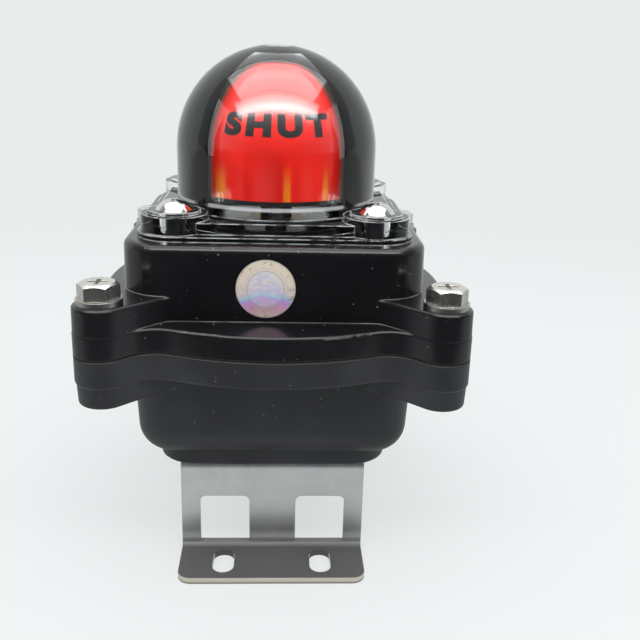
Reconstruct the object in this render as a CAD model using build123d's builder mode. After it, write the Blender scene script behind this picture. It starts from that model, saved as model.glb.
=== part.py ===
from build123d import *
import math
import os

# Valve limit switch box on its mounting bracket, in millimetres.
# z = 0 is the underside of the bracket's feet, and the drive shaft turns about x = y = 0.
# The front of the box faces -Y and the cable entries are at the rear.

# Mounting bracket
sheet = 2.0
bracket_height = 33.0
bracket_width = 57.0
bend_radius = 1.5
leg_span = 63.0
foot_span = 98.0
foot_corner = 4.0
slot_spacing_x = 30.0
slot_spacing_y = 80.0
slot_width = 6.6
slot_length = 12.0
window_width = 15.5
window_height = 16.5
window_sill = 3.5
window_corner = 2.0
bracket_bore = 13.0

# Housing, from the parting plane between base and cover
parting_height = 42.0
pad_height = 4.8
pad_half = 35.0
pad_corner = 12.0
base_draft = 3.0
base_foot_radius = 9.0
base_floor = 10.0
base_wall = 3.5
base_flange = 8.0
base_ear = 14.0
cover_height = 28.0
cover_draft = 1.0
cover_wall = 3.5
cover_roof = 4.0
cover_flange = 7.0
cover_ear = 14.0
cover_edge = 2.0
wall_half_x = 43.0
wall_half_y = 44.8
wall_corner = 13.0
base_step = 1.2
floor_fillet = 6.0

# Ears with the cover bolts, and the bulged flange between them
ear_out_x = 3.4
ear_out_y = 6.2
ear_radius = 7.6
ear_neck = 16.0
ear_blend = 5.0
bulge_front = 12.9
bulge_side = 10.5
front_arc_inset_x = 8.4
front_arc_inset_y = 4.9
side_arc_inset_x = 2.4
side_arc_inset_y = 11.0
flange_blend = 10.0
cast_edge = 0.8
seal_width = 2.2
seal_depth = 1.8
seal_inset = 1.0

# Fasteners
cover_bolt_radius = 3.0
cover_bolt_clearance = 0.3
cover_bolt_length = 25.0
cover_bolt_flats = 10.0
cover_bolt_head = 4.4
cover_bolt_crown = 0.8
cover_bolt_recess = 1.4
washer_radius = 6.25
washer_thickness = 1.6
bracket_screw_radius = 2.5
bracket_screw_spread = 50.0
bracket_screw_depth = 7.0
bracket_screw_gap = 0.3
bracket_screw_head = 4.25
bracket_screw_head_height = 3.2
bracket_washer_radius = 5.0
bracket_washer_thickness = 1.0
small_screw_radius = 1.5
small_screw_head = 2.75
small_screw_head_height = 1.9
small_screw_recess = 1.0
small_screw_depth = 6.0

# Clear dome, its mask and the indicator
dome_radius = 30.75
dome_wall = 2.25
dome_centre = 21.4
dome_lip = 1.4
dome_lip_half = 39.2
dome_plate = 4.6
dome_plate_half = 35.5
dome_lobe = 9.5
dome_lobe_height = 6.4
dome_collar = 7.5
dome_collar_height = 7.2
dome_screw_reach = 28.75
dome_screw_radius = 2.5
dome_screw_clearance = 0.3
dome_screw_head = 5.3
dome_screw_dome = 3.0
dome_screw_depth = 8.0
dome_screw_recess = 1.2
dome_tap_spare = 1.0
dome_seal_radius = 32.6
dome_seal_width = 1.8
dome_seal_depth = 1.4
mask_gap = 0.3
mask_wall = 1.2
mask_ring = 1.4
window_half_angle = 43.0
mask_cap = 7.3
drum_gap = 0.8
drum_wall = 1.5
drum_bottom = 9.3
carrier_rim = 1.3
carrier_web = 2.0
carrier_hub = 8.0
carrier_web_inset = 2.0
carrier_screw_length = 8.0
shaft_tap_depth = 9.0

# Drive shaft and bushings
shaft_radius = 6.0
shaft_top_radius = 5.0
shaft_end = 20.5
shaft_end_radius = 5.0
shaft_end_reach = 11.0
tongue_width = 4.0
tongue_length = 9.0
tongue_height = 4.0
shaft_collar = 9.8
shaft_collar_height = 2.0
shaft_flat = 4.0
shaft_running = 0.05
bushing_radius = 8.0
bushing_flange = 10.5
bushing_flange_height = 1.0
bushing_foot = 4.0
boss_radius = 12.0
boss_height = 9.0
roof_boss_height = 7.0
thrust_gap = 0.3
ring_wire = 0.9
ring_gap = 0.02
ring_height = 8.0

# Cam stack, counted from the shaft collar upwards
hub_radius = 6.6
hub_height = 32.9
hub_collar = 9.5
hub_collar_height = 3.0
spline_root = 7.2
spline_tip = 8.0
spline_teeth = 24
spline_tooth = 1.0
spline_clearance = 0.15
spline_height = 3.3
cam_height = 8.0
cam_seat_gap = 0.05
cam_low = 10.0
cam_rise = 2.0
cam_run_on = 6.0
cam_counterbore = 9.0
cam_web = 3.2
spring_radius = 7.9
spring_wire = 0.9
spring_turns = 4
retainer_radius = 9.8
retainer_thickness = 1.4
circlip_radius = 6.8
circlip_thickness = 1.0
circlip_groove = 4.6
circlip_gap = 2.4

# Switches, levers and rollers
switch_front = 18.8
switch_depth = 15.0
switch_length = 27.8
switch_thickness = 10.3
switch_hole_spacing = 22.2
switch_hole_x = 27.0
switch_corner = 1.0
clevis_ear = 1.0
tab_length = 3.5
tab_width = 3.0
tab_thickness = 0.6
tab_spacing = 9.0
lever_pivot_x = 18.0
lever_pivot_y = 12.5
lever_sheet = 0.5
lever_height = 5.4
lever_curl = 1.1
lever_pin_radius = 0.6
lever_pin_gap = 0.05
cheek_sheet = 0.5
cheek_half = 1.4
roller_radius = 2.3
roller_width = 4.0
roller_standoff = 0.5
roller_gap = 0.25
roller_y = 0.0
clevis_depth = 2.0
clevis_width = 2.8
clevis_gap = 0.25
plunger_radius = 1.0
plunger_y = 5.0
plunger_gap = 0.1
plunger_depth = 4.5
plate_thickness = 1.5
plate_half_y = 25.0
plate_post_y = 20.5
plate_post_radius = 3.5
plate_margin = 2.0

# Terminals and earthing
block_x = 29.0
block_width = 14.0
block_length = 62.0
block_foot = 5.0
block_height = 13.0
block_rise = 9.0
block_cells = 8
block_corner = 2.0
block_lip = 1.0
cell_pitch = 6.0
block_post_y = 27.5
block_post_height = 9.0
block_post_radius = 4.0
entry_hole = 2.0
wire_hole_rise = 1.5
wire_hole_height = 2.6
wire_hole_width = 4.2
terminal_head = 2.2
terminal_slot = 0.8
terminal_slot_depth = 1.0
earth_post_y = 30.0
earth_post_radius = 4.0
earth_post_height = 4.0
earth_screw_radius = 2.0
earth_screw_head = 4.0
earth_screw_head_height = 2.6
earth_screw_recess = 1.2
earth_screw_depth = 6.0
outer_earth_depth = 4.0
earth_pad_radius = 5.5
earth_pad_step = 1.5
earth_drop = 19.0

# Cable entries
entry_spacing = 36.0
entry_radius = 10.0
entry_boss = 13.0
entry_drop = 21.0
entry_reach = 6.0
plug_flange = 12.0
plug_flange_height = 1.6
plug_hex_flats = 17.0
plug_hex_height = 2.4
plug_depth = 8.0

# Heights that follow from the sizes above
base_bottom = bracket_height
parting = base_bottom + parting_height
cover_top = parting + cover_height
floor_top = base_bottom + base_floor
roof_under = cover_top - cover_roof
ear_x = wall_half_x + ear_out_x
ear_y = wall_half_y + ear_out_y
base_half_x = wall_half_x - base_step
base_half_y = wall_half_y - base_step
base_corner = wall_corner - base_step
cavity_half_x = base_half_x - base_wall
cavity_half_y = base_half_y - base_wall
boss_top = floor_top + boss_height
collar_bottom = boss_top + bushing_flange_height + thrust_gap
hub_bottom = collar_bottom + shaft_collar_height
hub_top = hub_bottom + hub_height
stop_bottom = hub_bottom + (hub_height - hub_collar_height) / 2
stop_top = stop_bottom + hub_collar_height
lower_cam_top = stop_bottom - cam_seat_gap
upper_cam_bottom = stop_top + cam_seat_gap
lower_level = lower_cam_top - cam_height / 2
upper_level = upper_cam_bottom + cam_height / 2
retainer_top = hub_top + retainer_thickness
hemisphere = cover_top + dome_centre
mask_outer = dome_radius - dome_wall - mask_gap
mask_inner = mask_outer - mask_wall
drum_outer = mask_inner - drum_gap
drum_foot = cover_top + drum_bottom
carrier_bottom = drum_foot - carrier_rim
shaft_top = drum_foot + carrier_web + circlip_gap
entry_height = parting - entry_drop
entry_face = wall_half_y + entry_reach
plate_top = lower_level - switch_thickness / 2
plate_bottom = plate_top - plate_thickness
block_bottom = floor_top + block_post_height

ears = [(x, y) for x in (-ear_x, ear_x) for y in (-ear_y, ear_y)]
entries = [-entry_spacing / 2, entry_spacing / 2]

os.makedirs("parts", exist_ok=True)


def cast_slab(plan, amount, taper):
    """Outline drawn out from the parting plane, with its far edges rounded as cast."""
    with BuildPart() as slab:
        with BuildSketch(Plane.XY.offset(parting)):
            add(plan)
        extrude(amount=amount, taper=taper)
        far = slab.faces().sort_by(Axis.Z)[-1 if amount > 0 else 0]
        fillet(far.edges(), cast_edge)
    return slab.part


def creases(plan):
    """Corners of an outline where two edges meet at an angle instead of running on."""
    found = []
    for vertex in plan.vertices():
        point = Vector(vertex.X, vertex.Y, vertex.Z)
        leaving = []
        for edge in plan.edges():
            if ((edge @ 0) - point).length < 1e-4:
                leaving.append(edge % 0)
            if ((edge @ 1) - point).length < 1e-4:
                leaving.append((edge % 1) * -1)
        if len(leaving) == 2 and leaving[0].get_angle(leaving[1]) < 172:
            found.append(vertex)
    return found


def ear_outline(half_x, half_y, corner):
    """Rounded wall outline with the four ears and their blends."""
    with BuildSketch() as plan:
        RectangleRounded(2 * half_x, 2 * half_y, corner)
        for x, y in ears:
            inward = Vector(-math.copysign(ear_neck, x), -math.copysign(ear_neck, y))
            neck = Vector(x, y) + inward
            SlotCenterPoint((Vector(x, y) + neck) * 0.5, (x, y), 2 * ear_radius)
        fillet(creases(plan), ear_blend)
    return plan.sketch


def flange_outline():
    """Wall and ears joined by outward arcs along the front, rear and sides."""
    front_end = (ear_x - front_arc_inset_x, ear_y - front_arc_inset_y)
    side_end = (ear_x - side_arc_inset_x, ear_y - side_arc_inset_y)
    with BuildSketch() as plan:
        RectangleRounded(2 * wall_half_x, 2 * wall_half_y, wall_corner)
        for x, y in ears:
            inward = Vector(-math.copysign(ear_neck, x), -math.copysign(ear_neck, y))
            neck = Vector(x, y) + inward
            SlotCenterPoint((Vector(x, y) + neck) * 0.5, (x, y), 2 * ear_radius)
        for side in (-1, 1):
            with BuildLine() as front:
                left = (-front_end[0], side * front_end[1])
                right = (front_end[0], side * front_end[1])
                ThreePointArc(left, (0, side * (wall_half_y + bulge_front)), right)
                Polyline(right, (front_end[0], 0), (-front_end[0], 0), left)
            make_face()
            with BuildLine() as flank:
                near = (side * side_end[0], -side_end[1])
                far = (side * side_end[0], side_end[1])
                ThreePointArc(near, (side * (wall_half_x + bulge_side), 0), far)
                Polyline(far, (0, side_end[1]), (0, -side_end[1]), near)
            make_face()
        fillet(creases(plan), flange_blend)
    return plan.sketch


def pan_screw(radius, length, head, head_height, recess):
    """Domed-head screw with a cross recess, head seat at z = 0, shank downwards."""
    crown = (head**2 + head_height**2) / (2 * head_height)
    with BuildPart() as screw:
        with BuildSketch(Plane.XZ) as profile:
            with BuildLine() as outline:
                Polyline((0, head_height), (0, -length), (radius, -length), (radius, 0), (head, 0))
                RadiusArc((head, 0), (0, head_height), -crown)
            make_face()
        revolve(axis=Axis.Z)
        with BuildSketch(Plane.XY.offset(head_height - recess)) as cross:
            Rectangle(head * 0.95, head * 0.17)
            Rectangle(head * 0.17, head * 0.95)
        extrude(amount=recess + 1, mode=Mode.SUBTRACT)
    return screw.part


def hex_bolt(radius, length, flats, head_height, recess):
    """Hexagon bolt with a crowned, cross-recessed head, seat at z = 0, shank downwards."""
    corner_radius = flats / math.sqrt(3)
    with BuildPart() as bolt:
        with BuildSketch() as hexagon:
            RegularPolygon(corner_radius, 6)
        extrude(amount=head_height)
        with BuildSketch(Plane.XZ) as crown:
            with BuildLine() as outline:
                Polyline(
                    (0, 0),
                    (corner_radius, 0),
                    (corner_radius, head_height - cover_bolt_crown),
                    (flats * 0.44, head_height),
                    (0, head_height),
                    close=True,
                )
            make_face()
        revolve(axis=Axis.Z, mode=Mode.INTERSECT)
        with BuildSketch() as shank:
            Circle(radius)
        extrude(amount=-length)
        with BuildSketch(Plane.XY.offset(head_height - recess)) as cross:
            Rectangle(flats * 0.55, flats * 0.11)
            Rectangle(flats * 0.11, flats * 0.55)
        extrude(amount=recess + 1, mode=Mode.SUBTRACT)
    return bolt.part


# Mounting bracket: a bent stainless hat section
with BuildPart() as mounting_bracket:
    leg_half = leg_span / 2
    inner_half = leg_half - sheet
    outer_bend = bend_radius + sheet
    with BuildSketch(Plane.YZ) as hat:
        with Locations((0, bracket_height / 2)):
            Rectangle(leg_span, bracket_height)
        with Locations((0, sheet / 2)):
            Rectangle(foot_span, sheet)
        with Locations((0, (bracket_height - sheet) / 2)):
            Rectangle(2 * inner_half, bracket_height - sheet, mode=Mode.SUBTRACT)
        bends = [
            (leg_half, bracket_height, outer_bend),
            (inner_half, bracket_height - sheet, bend_radius),
            (leg_half, sheet, bend_radius),
            (inner_half, 0, outer_bend),
        ]
        for across, height, radius in bends:
            corners = hat.vertices().filter_by(lambda v: abs(abs(v.X) - across) < 0.01)
            fillet(corners.filter_by(lambda v: abs(v.Y - height) < 0.01), radius)
    extrude(amount=bracket_width / 2, both=True)
    toe_edges = mounting_bracket.edges().filter_by(Axis.Z)
    fillet(toe_edges.filter_by(lambda e: abs(e.center().Y) > foot_span / 2 - 0.01), foot_corner)
    with BuildSketch() as slots:
        with GridLocations(slot_spacing_x, slot_spacing_y, 2, 2):
            SlotOverall(slot_length, slot_width, rotation=90)
    extrude(amount=sheet, mode=Mode.SUBTRACT)
    with BuildSketch(Plane.XZ) as windows:
        with Locations((0, window_sill + window_height / 2)):
            with GridLocations(slot_spacing_x, 0, 2, 1):
                Rectangle(window_width, window_height)
        fillet(windows.vertices().group_by(Axis.Y)[-1], window_corner)
    extrude(amount=leg_span, both=True, mode=Mode.SUBTRACT)
    with BuildSketch(Plane.XY.offset(bracket_height - sheet)) as top_holes:
        Circle(bracket_bore)
        with PolarLocations(bracket_screw_spread / 2, 4, start_angle=45):
            Circle(bracket_screw_radius + bracket_screw_gap)
    extrude(amount=sheet, mode=Mode.SUBTRACT)
mounting_bracket.part.label = "mounting_bracket"
export_step(mounting_bracket.part, "parts/mounting_bracket.step")

bracket_under = bracket_height - sheet

# Washers and screws under the bracket's top, into the base
with BuildPart() as bracket_washers:
    with BuildSketch(Plane.XY.offset(bracket_under)) as discs:
        with PolarLocations(bracket_screw_spread / 2, 4, start_angle=45):
            Circle(bracket_washer_radius)
            Circle(bracket_screw_radius, mode=Mode.SUBTRACT)
    extrude(amount=-bracket_washer_thickness)
bracket_washers.part.label = "bracket_washers"
export_step(bracket_washers.part, "parts/bracket_washers.step")

bracket_screw_seat = bracket_under - bracket_washer_thickness
with BuildPart() as bracket_screws:
    with BuildSketch(Plane.XY.offset(bracket_screw_seat)) as shanks:
        with PolarLocations(bracket_screw_spread / 2, 4, start_angle=45):
            Circle(bracket_screw_radius)
    extrude(amount=bracket_washer_thickness + sheet + bracket_screw_depth)
    with BuildSketch(Plane.XY.offset(bracket_screw_seat)) as heads:
        with PolarLocations(bracket_screw_spread / 2, 4, start_angle=45):
            Circle(bracket_screw_head)
    extrude(amount=-bracket_screw_head_height)
    with BuildSketch(Plane.XY.offset(bracket_screw_seat - bracket_screw_head_height)) as sockets:
        with PolarLocations(bracket_screw_spread / 2, 4, start_angle=45):
            RegularPolygon(bracket_screw_radius * 0.9, 6)
    extrude(amount=bracket_screw_head_height * 0.6, mode=Mode.SUBTRACT)
bracket_screws.part.label = "bracket_screws"
export_step(bracket_screws.part, "parts/bracket_screws.step")

# Cast base: drafted tub with a bulged flange, four ears, mounting pad and cable entry bosses
base_ears = ear_outline(base_half_x, base_half_y, base_corner)
flange = flange_outline()
base_ear_slab = cast_slab(base_ears, -base_ear, base_draft)
base_flange_slab = cast_slab(flange, -base_flange, 0)
base_pad_top = base_bottom + pad_height
with BuildPart() as housing_base:
    with BuildSketch(Plane.XY.offset(parting)) as tub:
        RectangleRounded(2 * base_half_x, 2 * base_half_y, base_corner)
    extrude(amount=-(parting - base_pad_top), taper=base_draft)
    fillet(housing_base.faces().sort_by(Axis.Z)[0].edges(), base_foot_radius)
    with BuildSketch(Plane.XY.offset(base_bottom)) as pad:
        RectangleRounded(2 * pad_half, 2 * pad_half, pad_corner)
    extrude(amount=pad_height + base_floor / 3)
    add(base_ear_slab)
    add(base_flange_slab)
    with BuildSketch(Plane.XZ.offset(-entry_face)) as entry_bosses:
        with Locations(*[(x, entry_height) for x in entries]):
            Circle(entry_boss)
    extrude(amount=entry_face - cavity_half_y + base_wall)
    with BuildSketch(Plane.XZ.offset(-(wall_half_y + earth_pad_step))) as earth_pad:
        with Locations((0, parting - earth_drop)):
            Circle(earth_pad_radius)
    extrude(amount=base_wall)
    with BuildSketch(Plane.XY.offset(parting)) as cavity:
        RectangleRounded(2 * cavity_half_x, 2 * cavity_half_y, base_corner - base_wall)
    extrude(amount=-(parting - floor_top), taper=base_draft, mode=Mode.SUBTRACT)
    cavity_floor = housing_base.faces().filter_by(Plane.XY)
    cavity_floor = cavity_floor.filter_by(lambda f: abs(f.center().Z - floor_top) < 0.01)
    fillet(cavity_floor.edges(), floor_fillet)
    with BuildSketch(Plane.XY.offset(floor_top)) as posts:
        Circle(boss_radius)
    extrude(amount=boss_height)
    with BuildSketch(Plane.XY.offset(floor_top)) as plate_posts:
        with Locations((-switch_hole_x, plate_post_y), (-switch_hole_x, -plate_post_y)):
            Circle(plate_post_radius)
    extrude(amount=plate_bottom - floor_top)
    with BuildSketch(Plane.XY.offset(floor_top)) as block_posts:
        with Locations((block_x, block_post_y), (block_x, -block_post_y)):
            Circle(block_post_radius)
    extrude(amount=block_post_height)
    with BuildSketch(Plane.XY.offset(floor_top)) as earth_post:
        with Locations((0, -earth_post_y)):
            Circle(earth_post_radius)
    extrude(amount=earth_post_height)
    # Bores and threaded holes
    with BuildSketch(Plane.XY.offset(base_bottom)) as shaft_bore:
        Circle(shaft_radius + 2 * shaft_running)
    extrude(amount=bushing_foot, mode=Mode.SUBTRACT)
    with BuildSketch(Plane.XY.offset(base_bottom + bushing_foot)) as bushing_bore:
        Circle(bushing_radius)
    extrude(amount=boss_top - base_bottom - bushing_foot, mode=Mode.SUBTRACT)
    with BuildSketch(Plane.XY.offset(base_bottom)) as bracket_taps:
        with PolarLocations(bracket_screw_spread / 2, 4, start_angle=45):
            Circle(bracket_screw_radius)
    extrude(amount=bracket_screw_depth, mode=Mode.SUBTRACT)
    with BuildSketch(Plane.XY.offset(parting)) as bolt_taps:
        with Locations(*ears):
            Circle(cover_bolt_radius)
    extrude(amount=-base_ear, mode=Mode.SUBTRACT)
    with BuildSketch(Plane.XY.offset(plate_bottom)) as plate_taps:
        with Locations((-switch_hole_x, plate_post_y), (-switch_hole_x, -plate_post_y)):
            Circle(small_screw_radius)
    extrude(amount=-small_screw_depth, mode=Mode.SUBTRACT)
    with BuildSketch(Plane.XY.offset(block_bottom)) as block_taps:
        with Locations((block_x, block_post_y), (block_x, -block_post_y)):
            Circle(small_screw_radius)
    extrude(amount=-small_screw_depth, mode=Mode.SUBTRACT)
    with BuildSketch(Plane.XY.offset(floor_top + earth_post_height)) as earth_tap:
        with Locations((0, -earth_post_y)):
            Circle(earth_screw_radius)
    extrude(amount=-earth_screw_depth, mode=Mode.SUBTRACT)
    with BuildSketch(Plane.XZ.offset(-entry_face)) as entry_taps:
        with Locations(*[(x, entry_height) for x in entries]):
            Circle(entry_radius)
    extrude(amount=entry_face - cavity_half_y + base_wall, mode=Mode.SUBTRACT)
    with BuildSketch(Plane.XZ.offset(-(wall_half_y + earth_pad_step))) as outer_earth_tap:
        with Locations((0, parting - earth_drop)):
            Circle(earth_screw_radius)
    extrude(amount=outer_earth_depth, mode=Mode.SUBTRACT)
    # Groove for the seal around the rim
    with BuildSketch(Plane.XY.offset(parting)) as groove:
        groove_x = cavity_half_x + seal_inset + seal_width
        groove_y = cavity_half_y + seal_inset + seal_width
        RectangleRounded(2 * groove_x, 2 * groove_y, base_corner - base_wall + seal_inset + seal_width)
        RectangleRounded(
            2 * (groove_x - seal_width),
            2 * (groove_y - seal_width),
            base_corner - base_wall + seal_inset,
            mode=Mode.SUBTRACT,
        )
    extrude(amount=-seal_depth, mode=Mode.SUBTRACT)
housing_base.part.label = "housing_base"
export_step(housing_base.part, "parts/housing_base.step")

with BuildPart() as cover_seal:
    with BuildSketch(Plane.XY.offset(parting)) as ring:
        add(groove.sketch_local)
    extrude(amount=-seal_depth)
cover_seal.part.label = "cover_seal"
export_step(cover_seal.part, "parts/cover_seal.step")

# Cast cover: drafted cap with the matching flange and ears, open below
cover_ears = ear_outline(wall_half_x, wall_half_y, wall_corner)
cover_ear_slab = cast_slab(cover_ears, cover_ear, cover_draft)
cover_flange_slab = cast_slab(flange, cover_flange, 0)
with BuildPart() as housing_cover:
    with BuildSketch(Plane.XY.offset(parting)) as cap:
        RectangleRounded(2 * wall_half_x, 2 * wall_half_y, wall_corner)
    extrude(amount=cover_height, taper=cover_draft)
    fillet(housing_cover.faces().sort_by(Axis.Z)[-1].edges(), cover_edge)
    add(cover_ear_slab)
    add(cover_flange_slab)
    with BuildSketch(Plane.XY.offset(parting)) as hollow:
        RectangleRounded(
            2 * (wall_half_x - cover_wall), 2 * (wall_half_y - cover_wall), wall_corner - cover_wall
        )
    extrude(amount=cover_height - cover_roof, taper=cover_draft, mode=Mode.SUBTRACT)
    with BuildSketch(Plane.XY.offset(roof_under)) as roof_boss:
        Circle(boss_radius)
    extrude(amount=-roof_boss_height)
    with BuildSketch(Plane.XY.offset(roof_under)) as screw_bosses:
        with GridLocations(2 * dome_screw_reach, 2 * dome_screw_reach, 2, 2):
            Circle(2 * dome_screw_radius)
    extrude(amount=-(dome_screw_depth - cover_roof + dome_tap_spare))
    with BuildSketch(Plane.XY.offset(cover_top)) as cover_bore:
        Circle(bushing_radius)
    extrude(amount=-(cover_roof + roof_boss_height), mode=Mode.SUBTRACT)
    with BuildSketch(Plane.XY.offset(cover_top)) as dome_taps:
        with GridLocations(2 * dome_screw_reach, 2 * dome_screw_reach, 2, 2):
            Circle(dome_screw_radius)
    extrude(amount=-dome_screw_depth, mode=Mode.SUBTRACT)
    with BuildSketch(Plane.XY.offset(cover_top)) as dome_groove:
        Circle(dome_seal_radius + dome_seal_width / 2)
        Circle(dome_seal_radius - dome_seal_width / 2, mode=Mode.SUBTRACT)
    extrude(amount=-dome_seal_depth, mode=Mode.SUBTRACT)
    with BuildSketch(Plane.XY.offset(parting)) as bolt_holes:
        with Locations(*ears):
            Circle(cover_bolt_radius + cover_bolt_clearance)
    extrude(amount=cover_ear, mode=Mode.SUBTRACT)
housing_cover.part.label = "housing_cover"
export_step(housing_cover.part, "parts/housing_cover.step")

with BuildPart() as dome_seal:
    with BuildSketch(Plane.XY.offset(cover_top)) as ring:
        add(dome_groove.sketch_local)
    extrude(amount=-dome_seal_depth)
dome_seal.part.label = "dome_seal"
export_step(dome_seal.part, "parts/dome_seal.step")

ear_top = parting + cover_ear
with BuildPart() as cover_washers:
    with BuildSketch(Plane.XY.offset(ear_top)) as discs:
        with Locations(*ears):
            Circle(washer_radius)
            Circle(cover_bolt_radius, mode=Mode.SUBTRACT)
    extrude(amount=washer_thickness)
cover_washers.part.label = "cover_washers"
export_step(cover_washers.part, "parts/cover_washers.step")

cover_bolt = hex_bolt(
    cover_bolt_radius, cover_bolt_length, cover_bolt_flats, cover_bolt_head, cover_bolt_recess
)
with BuildPart() as cover_bolts:
    with Locations(*[(x, y, ear_top + washer_thickness) for x, y in ears]):
        add(cover_bolt)
cover_bolts.part.label = "cover_bolts"
export_step(cover_bolts.part, "parts/cover_bolts.step")

# Clear dome: stepped square flange with four screw lobes under a hemispherical dome
with BuildPart() as indicator_dome:
    with BuildSketch(Plane.XY.offset(cover_top)) as lip:
        RectangleRounded(2 * dome_lip_half, 2 * dome_lip_half, dome_lip_half - dome_screw_reach)
    extrude(amount=dome_lip)
    with BuildSketch(Plane.XY.offset(cover_top)) as plate:
        RectangleRounded(2 * dome_plate_half, 2 * dome_plate_half, dome_plate_half - dome_screw_reach)
    extrude(amount=dome_plate)
    with BuildSketch(Plane.XY.offset(cover_top)) as lobes:
        with GridLocations(2 * dome_screw_reach, 2 * dome_screw_reach, 2, 2):
            Circle(dome_lobe)
    extrude(amount=dome_lobe_height)
    with BuildSketch(Plane.XY.offset(cover_top)) as collars:
        with GridLocations(2 * dome_screw_reach, 2 * dome_screw_reach, 2, 2):
            Circle(dome_collar)
    extrude(amount=dome_collar_height)
    with BuildSketch(Plane.XZ) as shell:
        with BuildLine() as outline:
            Line((0, cover_top), (dome_radius, cover_top))
            Line((dome_radius, cover_top), (dome_radius, hemisphere))
            RadiusArc((dome_radius, hemisphere), (0, hemisphere + dome_radius), -dome_radius)
            Line((0, hemisphere + dome_radius), (0, cover_top))
        make_face()
    revolve(axis=Axis.Z)
    inner = dome_radius - dome_wall
    with BuildSketch(Plane.XZ) as inside:
        with BuildLine() as outline:
            Line((0, cover_top), (inner, cover_top))
            Line((inner, cover_top), (inner, hemisphere))
            RadiusArc((inner, hemisphere), (0, hemisphere + inner), -inner)
            Line((0, hemisphere + inner), (0, cover_top))
        make_face()
    revolve(axis=Axis.Z, mode=Mode.SUBTRACT)
    with BuildSketch(Plane.XY.offset(cover_top)) as screw_holes:
        with GridLocations(2 * dome_screw_reach, 2 * dome_screw_reach, 2, 2):
            Circle(dome_screw_radius + dome_screw_clearance)
    extrude(amount=dome_collar_height, mode=Mode.SUBTRACT)
indicator_dome.part.label = "indicator_dome"
export_step(indicator_dome.part, "parts/indicator_dome.step")

dome_screw_length = dome_collar_height + dome_screw_depth - dome_tap_spare
dome_screw = pan_screw(
    dome_screw_radius, dome_screw_length, dome_screw_head, dome_screw_dome, dome_screw_recess
)
with BuildPart() as dome_screws:
    with Locations((0, 0, cover_top + dome_collar_height)):
        with GridLocations(2 * dome_screw_reach, 2 * dome_screw_reach, 2, 2):
            add(dome_screw)
dome_screws.part.label = "dome_screws"
export_step(dome_screws.part, "parts/dome_screws.step")

# Black mask inside the dome, open in two windows between meridians, below a small cap
with BuildPart() as window_cutter:
    reach = 2 * mask_outer
    spread = math.tan(math.radians(window_half_angle))
    with BuildSketch(Plane.XY.offset(cover_top + mask_ring)) as wedges:
        with BuildLine() as wedge:
            Polyline(
                (mask_ring * spread, -mask_ring),
                (reach * spread, -reach),
                (-reach * spread, -reach),
                (-mask_ring * spread, -mask_ring),
                close=True,
            )
        make_face()
        mirror(about=Plane.XZ)
        Circle(mask_cap, mode=Mode.SUBTRACT)
    extrude(amount=hemisphere + mask_outer - cover_top)
with BuildPart() as dome_mask:
    with BuildSketch(Plane.XZ) as shell:
        with BuildLine() as outline:
            Line((mask_inner, cover_top), (mask_outer, cover_top))
            Line((mask_outer, cover_top), (mask_outer, hemisphere))
            RadiusArc((mask_outer, hemisphere), (0, hemisphere + mask_outer), -mask_outer)
            Line((0, hemisphere + mask_outer), (0, hemisphere + mask_inner))
            RadiusArc((0, hemisphere + mask_inner), (mask_inner, hemisphere), mask_inner)
            Line((mask_inner, hemisphere), (mask_inner, cover_top))
        make_face()
    revolve(axis=Axis.Z)
    add(window_cutter.part, mode=Mode.SUBTRACT)
dome_mask.part.label = "dome_mask"
export_step(dome_mask.part, "parts/dome_mask.step")

# Indicator: dome-shaped drum on a black carrier, screwed to the shaft's top
with BuildPart() as indicator_drum:
    drum_inner = drum_outer - drum_wall
    with BuildSketch(Plane.XZ) as shell:
        with BuildLine() as outline:
            Line((drum_inner, drum_foot), (drum_outer, drum_foot))
            Line((drum_outer, drum_foot), (drum_outer, hemisphere))
            RadiusArc((drum_outer, hemisphere), (0, hemisphere + drum_outer), -drum_outer)
            Line((0, hemisphere + drum_outer), (0, hemisphere + drum_inner))
            RadiusArc((0, hemisphere + drum_inner), (drum_inner, hemisphere), drum_inner)
            Line((drum_inner, hemisphere), (drum_inner, drum_foot))
        make_face()
    revolve(axis=Axis.Z)
indicator_drum.part.label = "indicator_drum"
export_step(indicator_drum.part, "parts/indicator_drum.step")

with BuildPart() as indicator_carrier:
    with BuildSketch(Plane.XY.offset(carrier_bottom)) as rim:
        Circle(drum_outer)
    extrude(amount=carrier_rim)
    with BuildSketch(Plane.XY.offset(drum_foot)) as spigot:
        Circle(drum_inner)
    extrude(amount=carrier_web)
    with BuildSketch(Plane.XY.offset(drum_foot)) as recess:
        Circle(drum_inner - carrier_web_inset)
        Circle(carrier_hub, mode=Mode.SUBTRACT)
    extrude(amount=carrier_web, mode=Mode.SUBTRACT)
    with BuildSketch(Plane.XY.offset(carrier_bottom)) as drive_hole:
        Circle(shaft_top_radius)
        with Locations((shaft_flat, 0)):
            Rectangle(shaft_radius, 3 * shaft_radius, align=(Align.MIN, Align.CENTER), mode=Mode.SUBTRACT)
    extrude(amount=carrier_rim + carrier_web, mode=Mode.SUBTRACT)
indicator_carrier.part.label = "indicator_carrier"
export_step(indicator_carrier.part, "parts/indicator_carrier.step")

carrier_top = drum_foot + carrier_web
carrier_head = carrier_hub - 1
fixing_screw = pan_screw(
    small_screw_radius, carrier_screw_length, carrier_head, small_screw_head_height, small_screw_recess
)
with BuildPart() as carrier_screw:
    with Locations((0, 0, carrier_top)):
        add(fixing_screw)
carrier_screw.part.label = "carrier_screw"
export_step(carrier_screw.part, "parts/carrier_screw.step")

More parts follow.
